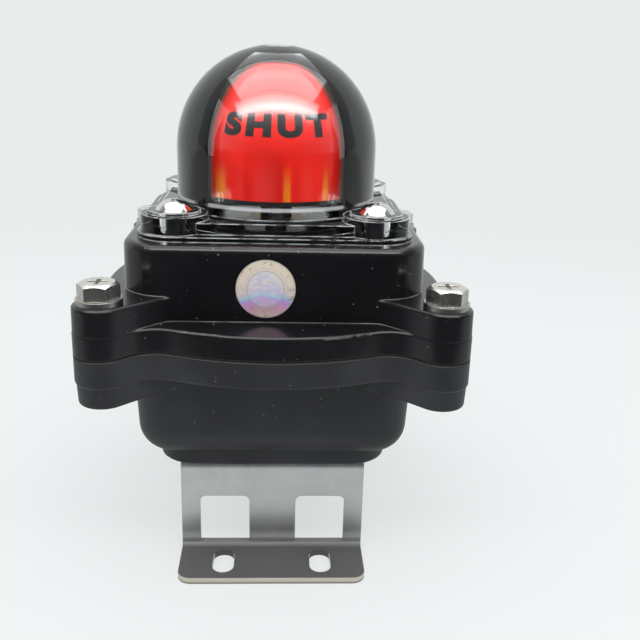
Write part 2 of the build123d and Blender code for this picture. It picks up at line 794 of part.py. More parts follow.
# Drive shaft: tongue below, seal grooves, thrust collar, flat and tapped end above
ring_heights = [base_bottom + bushing_foot + ring_height / 2, roof_under]
circlip_bottom = retainer_top
with BuildPart() as drive_shaft:
    with BuildSketch(Plane.XY.offset(shaft_end)) as free_end:
        Circle(shaft_end_radius)
    extrude(amount=shaft_end_reach)
    with BuildSketch(Plane.XY.offset(shaft_end + shaft_end_reach)) as lower_length:
        Circle(shaft_radius)
    extrude(amount=collar_bottom - shaft_end - shaft_end_reach)
    with BuildSketch(Plane.XY.offset(collar_bottom)) as collar:
        Circle(shaft_collar)
    extrude(amount=shaft_collar_height)
    with BuildSketch(Plane.XY.offset(hub_bottom)) as upper_length:
        Circle(shaft_top_radius)
    extrude(amount=carrier_top - hub_bottom)
    with BuildSketch(Plane.XY.offset(shaft_end)) as tongue:
        Rectangle(tongue_length, tongue_width)
    extrude(amount=-tongue_height)
    with BuildSketch(Plane.XY.offset(carrier_bottom)) as flat:
        with Locations((shaft_flat, 0)):
            Rectangle(shaft_radius, 3 * shaft_radius, align=(Align.MIN, Align.CENTER))
    extrude(amount=carrier_top - carrier_bottom, mode=Mode.SUBTRACT)
    for level, radius in zip(ring_heights, (shaft_radius, shaft_top_radius)):
        with BuildSketch(Plane.XY.offset(level - ring_wire)) as ring_groove:
            Circle(radius)
            Circle(radius - 2 * ring_wire - ring_gap, mode=Mode.SUBTRACT)
        extrude(amount=2 * ring_wire, mode=Mode.SUBTRACT)
    with BuildSketch(Plane.XY.offset(circlip_bottom)) as clip_groove:
        Circle(shaft_top_radius)
        Circle(circlip_groove, mode=Mode.SUBTRACT)
    extrude(amount=circlip_thickness, mode=Mode.SUBTRACT)
    with BuildSketch(Plane.XY.offset(carrier_top)) as end_tap:
        Circle(small_screw_radius)
    extrude(amount=-shaft_tap_depth, mode=Mode.SUBTRACT)
drive_shaft.part.label = "drive_shaft"
export_step(drive_shaft.part, "parts/drive_shaft.step")

with BuildPart() as shaft_seals:
    for level, radius in zip(ring_heights, (shaft_radius, shaft_top_radius)):
        with BuildSketch(Plane.XZ) as wire:
            with Locations((radius - ring_wire + ring_gap, level)):
                Circle(ring_wire)
        revolve(axis=Axis.Z)
shaft_seals.part.label = "shaft_seals"
export_step(shaft_seals.part, "parts/shaft_seals.step")

with BuildPart() as lower_bushing:
    with BuildSketch(Plane.XY.offset(base_bottom + bushing_foot)) as sleeve:
        Circle(bushing_radius)
    extrude(amount=boss_top - base_bottom - bushing_foot)
    with BuildSketch(Plane.XY.offset(boss_top)) as collar:
        Circle(bushing_flange)
    extrude(amount=bushing_flange_height)
    with BuildSketch(Plane.XY.offset(base_bottom + bushing_foot)) as bore:
        Circle(shaft_radius + shaft_running)
    extrude(amount=boss_height + base_floor, mode=Mode.SUBTRACT)
lower_bushing.part.label = "lower_bushing"
export_step(lower_bushing.part, "parts/lower_bushing.step")

with BuildPart() as upper_bushing:
    with BuildSketch(Plane.XY.offset(roof_under - roof_boss_height)) as sleeve:
        Circle(bushing_radius)
        Circle(shaft_top_radius + shaft_running, mode=Mode.SUBTRACT)
    extrude(amount=cover_roof + roof_boss_height)
upper_bushing.part.label = "upper_bushing"
export_step(upper_bushing.part, "parts/upper_bushing.step")


def spline_plan(clearance):
    """Toothed section of the cam hub, or of the bore that slides over it."""
    with BuildSketch() as plan:
        Circle(spline_root + clearance)
        with PolarLocations(0, spline_teeth):
            Rectangle(
                spline_tip + clearance,
                spline_tooth + 2 * clearance,
                align=(Align.MIN, Align.CENTER),
            )
    return plan.sketch


def cam_outline(low_at_roller):
    """Cam profile with a steady rise over a quarter turn, facing the roller at -X."""
    high = cam_low + cam_rise
    slope = cam_rise / 90

    def at(angle):
        turned = 180 - angle
        radius = cam_low + slope * turned if low_at_roller else high - slope * turned
        return Vector(radius, 0).rotate(Axis.Z, angle)

    first, last = 90 - cam_run_on, 180 + cam_run_on
    steps = [first + (last - first) * i / 6 for i in range(7)]
    rise = [at(angle) for angle in steps]
    dwell = [at(first).length, at(last).length]
    with BuildSketch() as plan:
        with BuildLine() as outline:
            Spline(*rise)
            mid_far = Vector(dwell[1], 0).rotate(Axis.Z, last + 30)
            end_far = Vector(dwell[1], 0).rotate(Axis.Z, last + 60)
            ThreePointArc(rise[-1], mid_far, end_far)
            start_near = Vector(dwell[0], 0).rotate(Axis.Z, first - 60)
            mid_near = Vector(dwell[0], 0).rotate(Axis.Z, first - 30)
            middle = Vector((dwell[0] + dwell[1]) / 2, 0).rotate(Axis.Z, (last + first) / 2 + 180)
            ThreePointArc(end_far, middle, start_near)
            ThreePointArc(start_near, mid_near, rise[0])
        make_face()
    return plan.sketch


# Splined hub that carries both cams, one each side of its middle collar
hub_teeth = spline_plan(0)
with BuildPart() as cam_hub:
    with BuildSketch(Plane.XY.offset(hub_bottom)) as shank:
        Circle(hub_radius)
    extrude(amount=hub_height)
    with BuildSketch(Plane.XY.offset(stop_bottom)) as stop:
        Circle(hub_collar)
    extrude(amount=hub_collar_height)
    with BuildSketch(Plane.XY.offset(stop_bottom - spline_height)) as teeth:
        add(hub_teeth)
    extrude(amount=2 * spline_height + hub_collar_height)
    with BuildSketch(Plane.XY.offset(hub_bottom)) as bore:
        Circle(shaft_top_radius)
    extrude(amount=hub_height, mode=Mode.SUBTRACT)
cam_hub.part.label = "cam_hub"
export_step(cam_hub.part, "parts/cam_hub.step")

with BuildPart() as spring_retainer:
    with BuildSketch(Plane.XY.offset(hub_top)) as disc:
        Circle(retainer_radius)
        Circle(shaft_top_radius, mode=Mode.SUBTRACT)
    extrude(amount=retainer_thickness)
spring_retainer.part.label = "spring_retainer"
export_step(spring_retainer.part, "parts/spring_retainer.step")

with BuildPart() as hub_circlip:
    with BuildSketch(Plane.XY.offset(circlip_bottom)) as clip:
        Circle(circlip_radius)
        Circle(circlip_groove, mode=Mode.SUBTRACT)
        Rectangle(2 * circlip_radius, circlip_gap, align=(Align.MIN, Align.CENTER), mode=Mode.SUBTRACT)
    extrude(amount=circlip_thickness)
hub_circlip.part.label = "hub_circlip"
export_step(hub_circlip.part, "parts/hub_circlip.step")


def cam(profile, bottom, web_bottom):
    """Cam with a toothed web of its own height and a counterbore for its spring."""
    toothed = spline_plan(spline_clearance)
    with BuildPart() as built:
        with BuildSketch(Plane.XY.offset(bottom)) as disc:
            add(profile)
        extrude(amount=cam_height)
        counterbore_bottom = bottom if web_bottom > bottom else bottom + cam_web
        with BuildSketch(Plane.XY.offset(counterbore_bottom)) as counterbore:
            Circle(cam_counterbore)
        extrude(amount=cam_height - cam_web, mode=Mode.SUBTRACT)
        with BuildSketch(Plane.XY.offset(web_bottom)) as bore:
            add(toothed)
        extrude(amount=cam_web, mode=Mode.SUBTRACT)
    return built.part


lower_cam_bottom = lower_cam_top - cam_height
upper_cam_solid = cam(cam_outline(True), upper_cam_bottom, upper_cam_bottom)
with BuildPart() as upper_cam:
    add(upper_cam_solid)
upper_cam.part.label = "upper_cam"
export_step(upper_cam.part, "parts/upper_cam.step")

lower_cam_solid = cam(cam_outline(False), lower_cam_bottom, lower_cam_top - cam_web)
with BuildPart() as lower_cam:
    add(lower_cam_solid)
lower_cam.part.label = "lower_cam"
export_step(lower_cam.part, "parts/lower_cam.step")


def spring(bottom, top):
    """Open coil spring standing between two seats."""
    with BuildPart() as coil:
        with BuildLine(Plane.XY.offset(bottom + spring_wire / 2)) as path:
            free = top - bottom - spring_wire
            helix = Helix(free / spring_turns, free, spring_radius)
        with BuildSketch(Plane(origin=helix @ 0, z_dir=helix % 0)) as section:
            RegularPolygon(spring_wire / 2, 6)
        sweep(path=helix)
    return coil.part


lower_spring_solid = spring(hub_bottom, lower_cam_top - cam_web)
with BuildPart() as lower_cam_spring:
    add(lower_spring_solid)
lower_cam_spring.part.label = "lower_cam_spring"
export_step(lower_cam_spring.part, "parts/lower_cam_spring.step")

upper_spring_solid = spring(upper_cam_bottom + cam_web, hub_top)
with BuildPart() as upper_cam_spring:
    add(upper_spring_solid)
upper_cam_spring.part.label = "upper_cam_spring"
export_step(upper_cam_spring.part, "parts/upper_cam_spring.step")

# Switches, stacked on a sheet plate beside the cams
pivot = Vector(-lever_pivot_x, lever_pivot_y)
free_roller = Vector(-(cam_low + roller_gap + roller_radius), roller_y)
pressed_x = free_roller.X - cam_rise
lever_swing = math.degrees(cam_rise / (lever_pivot_y - roller_y))
pressed_roller = pivot + (free_roller - pivot).rotate(Axis.Z, -lever_swing)


def strip_angle(roller):
    """Direction of the lever's strip, which passes behind its roller."""
    arm = roller - pivot
    lean = math.degrees(math.asin((roller_radius + roller_standoff) / arm.length))
    return math.degrees(math.atan2(arm.Y, arm.X)) - lean


def plunger_tip(roller):
    """Where the plunger's tip stands behind the lever."""
    angle = math.radians(strip_angle(roller))
    along = (plunger_y - pivot.Y) / math.sin(angle)
    return pivot.X + along * math.cos(angle) - lever_sheet / 2 / abs(math.sin(angle)) - plunger_gap


def switch_body(level):
    """Snap-action switch with mounting holes, plunger bore and lever clevis."""
    clevis_front = -switch_front + clevis_depth
    clevis_height = lever_height + 2 * clevis_gap
    with BuildPart() as body:
        with BuildSketch(Plane.XY.offset(level)) as case:
            with Locations((-switch_front - switch_depth / 2, 0)):
                RectangleRounded(switch_depth, switch_length, switch_corner)
        extrude(amount=switch_thickness / 2, both=True)
        with BuildSketch(Plane.XY.offset(level)) as clevis:
            with Locations((clevis_front, lever_pivot_y)):
                Rectangle(
                    clevis_depth + clevis_ear, clevis_width, align=(Align.MAX, Align.CENTER)
                )
        extrude(amount=clevis_height / 2 + clevis_ear, both=True)
        with BuildSketch(Plane.XY.offset(level)) as clevis_slot:
            with Locations((clevis_front, lever_pivot_y)):
                Rectangle(
                    clevis_depth + lever_curl + clevis_gap,
                    2 * clevis_width,
                    align=(Align.MAX, Align.CENTER),
                )
        extrude(amount=clevis_height / 2, both=True, mode=Mode.SUBTRACT)
        with BuildSketch(Plane.XY.offset(level)) as pin_hole:
            with Locations((pivot.X, pivot.Y)):
                Circle(lever_pin_radius)
        extrude(amount=clevis_height / 2 + clevis_ear, both=True, mode=Mode.SUBTRACT)
        with BuildSketch(Plane.XY.offset(level)) as holes:
            with Locations((-switch_hole_x, 0)):
                with GridLocations(0, switch_hole_spacing, 1, 2):
                    Circle(small_screw_radius)
        extrude(amount=switch_thickness, both=True, mode=Mode.SUBTRACT)
        with BuildSketch(Plane.YZ.offset(-switch_front)) as plunger_bore:
            with Locations((plunger_y, level)):
                Circle(plunger_radius + lever_pin_gap)
        extrude(amount=-plunger_depth, mode=Mode.SUBTRACT)
    return body.part


def switch_lever(level, roller):
    """Sheet lever with a curled eye, two cheeks and the roller's rivet."""
    angle = strip_angle(roller)
    direction = Vector(1, 0).rotate(Axis.Z, angle)
    arm = roller - pivot
    reach = arm.length * math.cos(math.asin((roller_radius + roller_standoff) / arm.length))
    strip_plane = Plane(origin=(pivot.X, pivot.Y, level), x_dir=direction, z_dir=(0, 0, 1))
    side = roller_radius + roller_standoff
    with BuildPart() as lever:
        with BuildSketch(strip_plane) as strip:
            Rectangle(reach + cheek_sheet, lever_sheet, align=(Align.MIN, Align.CENTER))
            Circle(lever_curl)
        extrude(amount=lever_height / 2, both=True)
        for near in (-lever_height / 2, lever_height / 2 - cheek_sheet):
            with BuildSketch(strip_plane.offset(near)) as cheek:
                SlotCenterPoint((reach, side / 2), (reach, side), 2 * cheek_half)
                Rectangle(reach + cheek_half, side - roller_radius, align=(Align.MIN, Align.MIN))
            extrude(amount=cheek_sheet)
        with BuildSketch(strip_plane) as rivet:
            with Locations((reach, side)):
                Circle(lever_pin_radius)
        extrude(amount=lever_height / 2, both=True)
        with BuildSketch(strip_plane) as pin_eye:
            Circle(lever_pin_radius + lever_pin_gap)
        extrude(amount=lever_height, both=True, mode=Mode.SUBTRACT)
    return lever.part


def lever_roller(level, roller):
    """Roller on the lever's rivet."""
    with BuildPart() as wheel:
        with BuildSketch(Plane.XY.offset(level)) as disc:
            with Locations((roller.X, roller.Y)):
                Circle(roller_radius)
                Circle(lever_pin_radius + lever_pin_gap, mode=Mode.SUBTRACT)
        extrude(amount=roller_width / 2, both=True)
    return wheel.part


def plunger(level, roller):
    """Button between the lever and the switch's contacts."""
    tip = plunger_tip(roller)
    root = -switch_front - plunger_depth + cam_rise
    with BuildPart() as pin:
        with BuildSketch(Plane.YZ.offset(root)) as rod:
            with Locations((plunger_y, level)):
                Circle(plunger_radius)
        extrude(amount=tip - root)
        fillet(pin.faces().sort_by(Axis.X)[-1].edges(), plunger_radius * 0.4)
    return pin.part


switch_levels = {"upper": (upper_level, free_roller), "lower": (lower_level, pressed_roller)}
for name, (level, roller) in switch_levels.items():
    pieces = {
        "switch": switch_body(level),
        "lever": switch_lever(level, roller),
        "roller": lever_roller(level, roller),
        "plunger": plunger(level, roller),
    }
    for piece, solid in pieces.items():
        with BuildPart() as switch_piece:
            add(solid)
        switch_piece.part.label = f"{name}_{piece}"
        export_step(switch_piece.part, f"parts/{name}_{piece}.step")

levels = [level for level, roller in switch_levels.values()]
with BuildPart() as lever_pins:
    for level in levels:
        with BuildSketch(Plane.XY.offset(level)) as pin:
            with Locations((pivot.X, pivot.Y)):
                Circle(lever_pin_radius)
        extrude(amount=lever_height / 2 + clevis_gap + clevis_ear, both=True)
lever_pins.part.label = "lever_pins"
export_step(lever_pins.part, "parts/lever_pins.step")

with BuildPart() as switch_terminals:
    for level in levels:
        with BuildSketch(Plane.YZ.offset(-switch_front - switch_depth)) as tabs:
            with Locations((0, level)):
                with GridLocations(tab_spacing, 0, 3, 1):
                    Rectangle(tab_width, tab_thickness)
        extrude(amount=-tab_length)
switch_terminals.part.label = "switch_terminals"
export_step(switch_terminals.part, "parts/switch_terminals.step")

with BuildPart() as switch_insulator:
    with BuildSketch(Plane.XY.offset(lower_level + switch_thickness / 2)) as sheet_plan:
        with Locations((-switch_front - (switch_depth + switch_corner) / 2, 0)):
            RectangleRounded(switch_depth - switch_corner, switch_length + switch_corner, switch_corner)
        with Locations((-switch_hole_x, 0)):
            with GridLocations(0, switch_hole_spacing, 1, 2):
                Circle(small_screw_radius, mode=Mode.SUBTRACT)
    extrude(amount=upper_level - lower_level - switch_thickness)
switch_insulator.part.label = "switch_insulator"
export_step(switch_insulator.part, "parts/switch_insulator.step")

with BuildPart() as switch_plate:
    with BuildSketch(Plane.XY.offset(plate_bottom)) as sheet_plan:
        with Locations((-switch_front - switch_depth / 2, 0)):
            RectangleRounded(switch_depth, 2 * plate_half_y, plate_margin)
        with Locations((-switch_hole_x, 0)):
            with GridLocations(0, switch_hole_spacing, 1, 2):
                Circle(small_screw_radius, mode=Mode.SUBTRACT)
            with GridLocations(0, 2 * plate_post_y, 1, 2):
                Circle(small_screw_radius, mode=Mode.SUBTRACT)
    extrude(amount=plate_thickness)
switch_plate.part.label = "switch_plate"
export_step(switch_plate.part, "parts/switch_plate.step")

switch_stack = upper_level + switch_thickness / 2
stack_length = switch_stack - plate_bottom
stack_screw = pan_screw(
    small_screw_radius, stack_length, small_screw_head, small_screw_head_height, small_screw_recess
)
with BuildPart() as switch_screws:
    with Locations((-switch_hole_x, 0, switch_stack)):
        with GridLocations(0, switch_hole_spacing, 1, 2):
            add(stack_screw)
switch_screws.part.label = "switch_screws"
export_step(switch_screws.part, "parts/switch_screws.step")

post_screw = pan_screw(
    small_screw_radius,
    small_screw_depth,
    small_screw_head,
    small_screw_head_height,
    small_screw_recess,
)
with BuildPart() as switch_plate_screws:
    with Locations((-switch_hole_x, 0, plate_top)):
        with GridLocations(0, 2 * plate_post_y, 1, 2):
            add(post_screw)
switch_plate_screws.part.label = "switch_plate_screws"
export_step(switch_plate_screws.part, "parts/switch_plate_screws.step")

# Terminal block with one screw and two wire entries per cell
block_top = block_bottom + block_height
with BuildPart() as terminal_block:
    with BuildSketch(Plane.XY.offset(block_bottom)) as foot:
        with Locations((block_x, 0)):
            RectangleRounded(block_width, block_length, block_corner)
    extrude(amount=block_foot)
    with BuildSketch(Plane.XY.offset(block_bottom)) as body:
        with Locations((block_x, 0)):
            Rectangle(block_width - 2 * block_lip, block_cells * cell_pitch)
    extrude(amount=block_height)
    with BuildSketch(Plane.XY.offset(block_top)) as screw_wells:
        with Locations((block_x, 0)):
            with GridLocations(0, cell_pitch, 1, block_cells):
                Circle(entry_hole)
    extrude(amount=-(block_height - block_rise), mode=Mode.SUBTRACT)
    with BuildSketch(Plane.YZ.offset(block_x)) as wire_entries:
        with Locations((0, block_bottom + block_foot + wire_hole_rise)):
            with GridLocations(cell_pitch, 0, block_cells, 1):
                Rectangle(wire_hole_width, wire_hole_height)
    extrude(amount=block_width, both=True, mode=Mode.SUBTRACT)
    with BuildSketch(Plane.XY.offset(block_bottom)) as block_holes:
        with Locations((block_x, block_post_y), (block_x, -block_post_y)):
            Circle(small_screw_radius)
    extrude(amount=block_foot, mode=Mode.SUBTRACT)
terminal_block.part.label = "terminal_block"
export_step(terminal_block.part, "parts/terminal_block.step")

with BuildPart() as terminal_screws:
    with BuildSketch(Plane.XY.offset(block_bottom + block_rise)) as heads:
        with Locations((block_x, 0)):
            with GridLocations(0, cell_pitch, 1, block_cells):
                Circle(entry_hole)
    extrude(amount=terminal_head)
    with BuildSketch(Plane.XY.offset(block_bottom + block_rise + terminal_head)) as slots:
        with Locations((block_x, 0)):
            with GridLocations(0, cell_pitch, 1, block_cells):
                Rectangle(3 * entry_hole, terminal_slot)
    extrude(amount=-terminal_slot_depth, mode=Mode.SUBTRACT)
terminal_screws.part.label = "terminal_screws"
export_step(terminal_screws.part, "parts/terminal_screws.step")

block_screw = pan_screw(
    small_screw_radius,
    block_foot + small_screw_depth,
    small_screw_head,
    small_screw_head_height,
    small_screw_recess,
)
with BuildPart() as terminal_block_screws:
    with Locations((block_x, 0, block_bottom + block_foot)):
        with GridLocations(0, 2 * block_post_y, 1, 2):
            add(block_screw)
terminal_block_screws.part.label = "terminal_block_screws"
export_step(terminal_block_screws.part, "parts/terminal_block_screws.step")

# Earthing screws inside and outside, and the plug in the unused cable entry
earth_screw = pan_screw(
    earth_screw_radius,
    earth_screw_depth,
    earth_screw_head,
    earth_screw_head_height,
    earth_screw_recess,
)
with BuildPart() as inner_earth_screw:
    with Locations((0, -earth_post_y, floor_top + earth_post_height)):
        add(earth_screw)
inner_earth_screw.part.label = "inner_earth_screw"
export_step(inner_earth_screw.part, "parts/inner_earth_screw.step")

short_earth_screw = pan_screw(
    earth_screw_radius,
    outer_earth_depth,
    earth_screw_head,
    earth_screw_head_height,
    earth_screw_recess,
)
with BuildPart() as outer_earth_screw:
    with Locations(Location((0, wall_half_y + earth_pad_step, parting - earth_drop), (-90, 0, 0))):
        add(short_earth_screw)
outer_earth_screw.part.label = "outer_earth_screw"
export_step(outer_earth_screw.part, "parts/outer_earth_screw.step")

with BuildPart() as blanking_plug:
    with BuildSketch(Plane.XZ.offset(-entry_face)) as shank:
        with Locations((entries[1], entry_height)):
            Circle(entry_radius)
    extrude(amount=plug_depth)
    with BuildSketch(Plane.XZ.offset(-entry_face)) as rim:
        with Locations((entries[1], entry_height)):
            Circle(plug_flange)
    extrude(amount=-plug_flange_height)
    with BuildSketch(Plane.XZ.offset(-entry_face - plug_flange_height)) as hexagon:
        with Locations((entries[1], entry_height)):
            RegularPolygon(plug_hex_flats / math.sqrt(3), 6)
    extrude(amount=-plug_hex_height)
blanking_plug.part.label = "blanking_plug"
export_step(blanking_plug.part, "parts/blanking_plug.step")
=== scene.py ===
import math
import bmesh
import bpy
import numpy as np
from mathutils import Euler, Matrix, Vector


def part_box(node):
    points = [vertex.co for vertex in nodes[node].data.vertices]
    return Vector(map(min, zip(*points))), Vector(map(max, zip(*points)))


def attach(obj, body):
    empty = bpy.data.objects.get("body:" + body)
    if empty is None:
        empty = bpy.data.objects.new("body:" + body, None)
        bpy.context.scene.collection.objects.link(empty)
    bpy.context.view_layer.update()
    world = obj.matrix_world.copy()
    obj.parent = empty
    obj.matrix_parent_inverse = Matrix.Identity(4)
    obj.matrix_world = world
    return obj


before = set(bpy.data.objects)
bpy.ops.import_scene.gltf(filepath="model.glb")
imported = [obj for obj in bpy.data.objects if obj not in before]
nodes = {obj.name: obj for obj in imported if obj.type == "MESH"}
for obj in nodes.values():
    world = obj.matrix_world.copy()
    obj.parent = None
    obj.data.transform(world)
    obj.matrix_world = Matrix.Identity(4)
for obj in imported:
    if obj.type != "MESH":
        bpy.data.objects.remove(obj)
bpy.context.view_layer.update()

MM = 0.001
scene = bpy.context.scene
scene.view_settings.view_transform = "Standard"

# Camera, a little above the cover and turned a few degrees off the front
eye = bpy.data.cameras.new("camera")
eye.lens = 47.9
eye.sensor_width = 36.0
camera = bpy.data.objects.new("camera", eye)
aim = Euler((math.radians(71.57), 0.0, math.radians(-3.06))).to_matrix().to_4x4()
roll = Matrix.Rotation(math.radians(1.68), 4, "Z")
camera.matrix_world = Matrix.Translation((0.00065, -0.2687, 0.1577)) @ aim @ roll
scene.collection.objects.link(camera)
scene.camera = camera


# Shader writing
class Value:
    """A shader socket; arithmetic on it adds the Math nodes that work it out."""

    def __init__(self, finish, socket):
        self.finish = finish
        self.socket = socket

    def _maths(self, operation, *terms):
        return self.finish.node("ShaderNodeMath", {"operation": operation}, dict(enumerate(terms)))

    def __add__(self, other):
        return self._maths("ADD", self, other)

    def __radd__(self, other):
        return self._maths("ADD", other, self)

    def __sub__(self, other):
        return self._maths("SUBTRACT", self, other)

    def __rsub__(self, other):
        return self._maths("SUBTRACT", other, self)

    def __mul__(self, other):
        return self._maths("MULTIPLY", self, other)

    def __rmul__(self, other):
        return self._maths("MULTIPLY", other, self)

    def __abs__(self):
        return self._maths("ABSOLUTE", self)

    def sine(self):
        return self._maths("SINE", self)

    def angle_from(self, other):
        return self._maths("ARCTAN2", self, other)

    def root(self):
        return self._maths("SQRT", self)

    def over(self, low, high, bottom=0.0, top=1.0):
        """Smooth step from bottom to top while the value goes from low to high."""
        settings = {"interpolation_type": "SMOOTHSTEP"}
        values = {0: self, 1: low, 2: high, 3: bottom, 4: top}
        return self.finish.node("ShaderNodeMapRange", settings, values)


class Finish:
    """A Principled material whose constants sit on its own sockets."""

    def __init__(self, name, colour, roughness, metallic=0.0, **constants):
        self.material = bpy.data.materials.new(name)
        self.material.use_nodes = True
        self.tree = self.material.node_tree
        self.shader = self.tree.nodes["Principled BSDF"]
        self.shader.inputs["Base Color"].default_value = (*colour, 1.0)
        self.shader.inputs["Roughness"].default_value = roughness
        self.shader.inputs["Metallic"].default_value = metallic
        for socket, value in constants.items():
            self.shader.inputs[socket.replace("_", " ")].default_value = value

    def node(self, kind, settings=None, values=None, out=0):
        """Adds one node: its settings first, then the values or links of its sockets."""
        made = self.tree.nodes.new(kind)
        for setting, value in (settings or {}).items():
            if setting == "stops":
                ramp = made.color_ramp.elements
                while len(ramp) < len(value):
                    ramp.new(1.0)
                for stop, (place, colour) in zip(ramp, value):
                    stop.position = place
                    stop.color = (*colour, 1.0)
            else:
                setattr(made, setting, value)
        for socket, value in (values or {}).items():
            self.feed(made.inputs[socket], value)
        return Value(self, made.outputs[out])

    def feed(self, socket, value):
        if isinstance(value, Value):
            self.tree.links.new(value.socket, socket)
        elif isinstance(value, tuple) and len(value) == 3 and socket.type == "RGBA":
            socket.default_value = (*value, 1.0)
        else:
            socket.default_value = value

    def place(self, stretch=(1.0, 1.0, 1.0), middle=(0.0, 0.0, 0.0)):
        """Object coordinates, measured from a middle and stretched."""
        point = self.node("ShaderNodeTexCoord", out=3)
        moved = self.node("ShaderNodeVectorMath", {"operation": "SUBTRACT"}, {0: point, 1: middle})
        return self.node("ShaderNodeVectorMath", {"operation": "MULTIPLY"}, {0: moved, 1: stretch})

    def axes(self, middle=(0.0, 0.0, 0.0)):
        point = self.place(middle=middle)
        return [self.node("ShaderNodeSeparateXYZ", values={0: point}, out=i) for i in range(3)]

    def noise(self, scale, detail=2.0, rough=0.5, stretch=(1.0, 1.0, 1.0)):
        values = {"Vector": self.place(stretch), "Scale": scale, "Detail": detail, "Roughness": rough}
        return self.node("ShaderNodeTexNoise", values=values)

    def cells(self, scale, stretch=(1.0, 1.0, 1.0)):
        return self.node("ShaderNodeTexVoronoi", values={"Vector": self.place(stretch), "Scale": scale})

    def mix(self, share, first, second):
        settings = {"data_type": "RGBA"}
        return self.node("ShaderNodeMix", settings, {0: share, 6: first, 7: second}, out=2)

    def set(self, **links):
        for socket, value in links.items():
            self.feed(self.shader.inputs[socket.replace("_", " ")], value)

    def bump(self, height, depth, edge=0.0):
        """Relief of the given depth in metres where height goes from 0 to 1, over softened edges."""
        values = {"Height": height, "Distance": depth}
        if edge:
            values["Normal"] = self.node("ShaderNodeBevel", {"samples": 6}, {"Radius": edge})
        self.set(Normal=self.node("ShaderNodeBump", values=values))

    def edges(self, radius, low=0.985, high=0.90):
        """One along sharp edges, where the rounded normal turns away from the flat one."""
        soft = self.node("ShaderNodeBevel", {"samples": 8}, {"Radius": radius})
        flat = self.node("ShaderNodeNewGeometry", out=1)
        agree = self.node("ShaderNodeVectorMath", {"operation": "DOT_PRODUCT"}, {0: soft, 1: flat}, out=1)
        return agree.over(low, high)

    def upward(self):
        """Upward part of the surface's own direction."""
        flat = self.node("ShaderNodeNewGeometry", out=1)
        return self.node("ShaderNodeSeparateXYZ", values={0: flat}, out=2)

    def on(self, *names):
        for name in names:
            mesh = nodes[name].data
            mesh.materials.clear()
            mesh.materials.append(self.material)


# Sizes that the finishes and the pieces made here share
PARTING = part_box("housing_cover")[0].z
FLANGE_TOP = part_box("indicator_dome")[0].z + 7.2 * MM
DOME_RADIUS = 30.75 * MM
DOME_WALL = 2.25 * MM
DOME_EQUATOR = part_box("indicator_dome")[1].z - DOME_RADIUS
SEAL_EAST = -2.5 * MM
SEAL_LEVEL = 91.6 * MM


# Paint and castings


def powder_coat(name, colour, shine, gloss, grain, depth, *pieces):
    """Black coat on a casting: orange peel, uneven shine, sparse pale dust, and edges lightened partly by wear
    and partly as a painted highlight.

    A dark line marks where the two halves meet."""
    coat = Finish(name, colour, shine, Specular_IOR_Level=gloss)
    height = coat.axes()[2]
    seam = abs(height - PARTING).over(0.00048, 0.00012)
    peel = coat.noise(grain, 3.0, 0.55)
    cloud = coat.noise(38.0, 3.0, 0.6)
    specks = coat.cells(420.0).over(0.11, 0.045) * coat.noise(170.0, 1.0).over(0.57, 0.66)
    lint = coat.noise(900.0, 2.0, 0.6, (1.0, 0.22, 0.9)).over(0.725, 0.77)
    dust = specks + lint * 0.5
    worn = tuple(c * 1.45 + 0.002 for c in colour)
    base = coat.mix(cloud.over(0.35, 0.7), colour, worn)
    base = coat.mix(dust * 0.5, base, (0.42, 0.42, 0.43))
    # Sharp edges lightened: partly coat worn through by rubbing, partly a painted highlight.
    rubbed_and_highlight = coat.edges(0.0006) * coat.noise(60.0, 3.0, 0.6).over(0.35, 0.60)
    base = coat.mix(rubbed_and_highlight * 0.8, base, (0.17, 0.174, 0.18))
    coat.set(Base_Color=coat.mix(seam, base, (0.001, 0.001, 0.001)))
    coat.set(Roughness=shine + 0.08 * cloud.over(0.3, 0.75) + 0.35 * dust + 0.4 * seam)
    coat.bump(peel + 0.4 * dust - 9.0 * seam, depth, 0.0007)
    coat.on(*pieces)


powder_coat("cover_coat", (0.0052, 0.0052, 0.0062), 0.17, 0.50, 1100.0, 0.00002, "housing_cover")
powder_coat("base_coat", (0.0180, 0.0183, 0.0210), 0.36, 0.50, 1500.0, 0.00003, "housing_base")


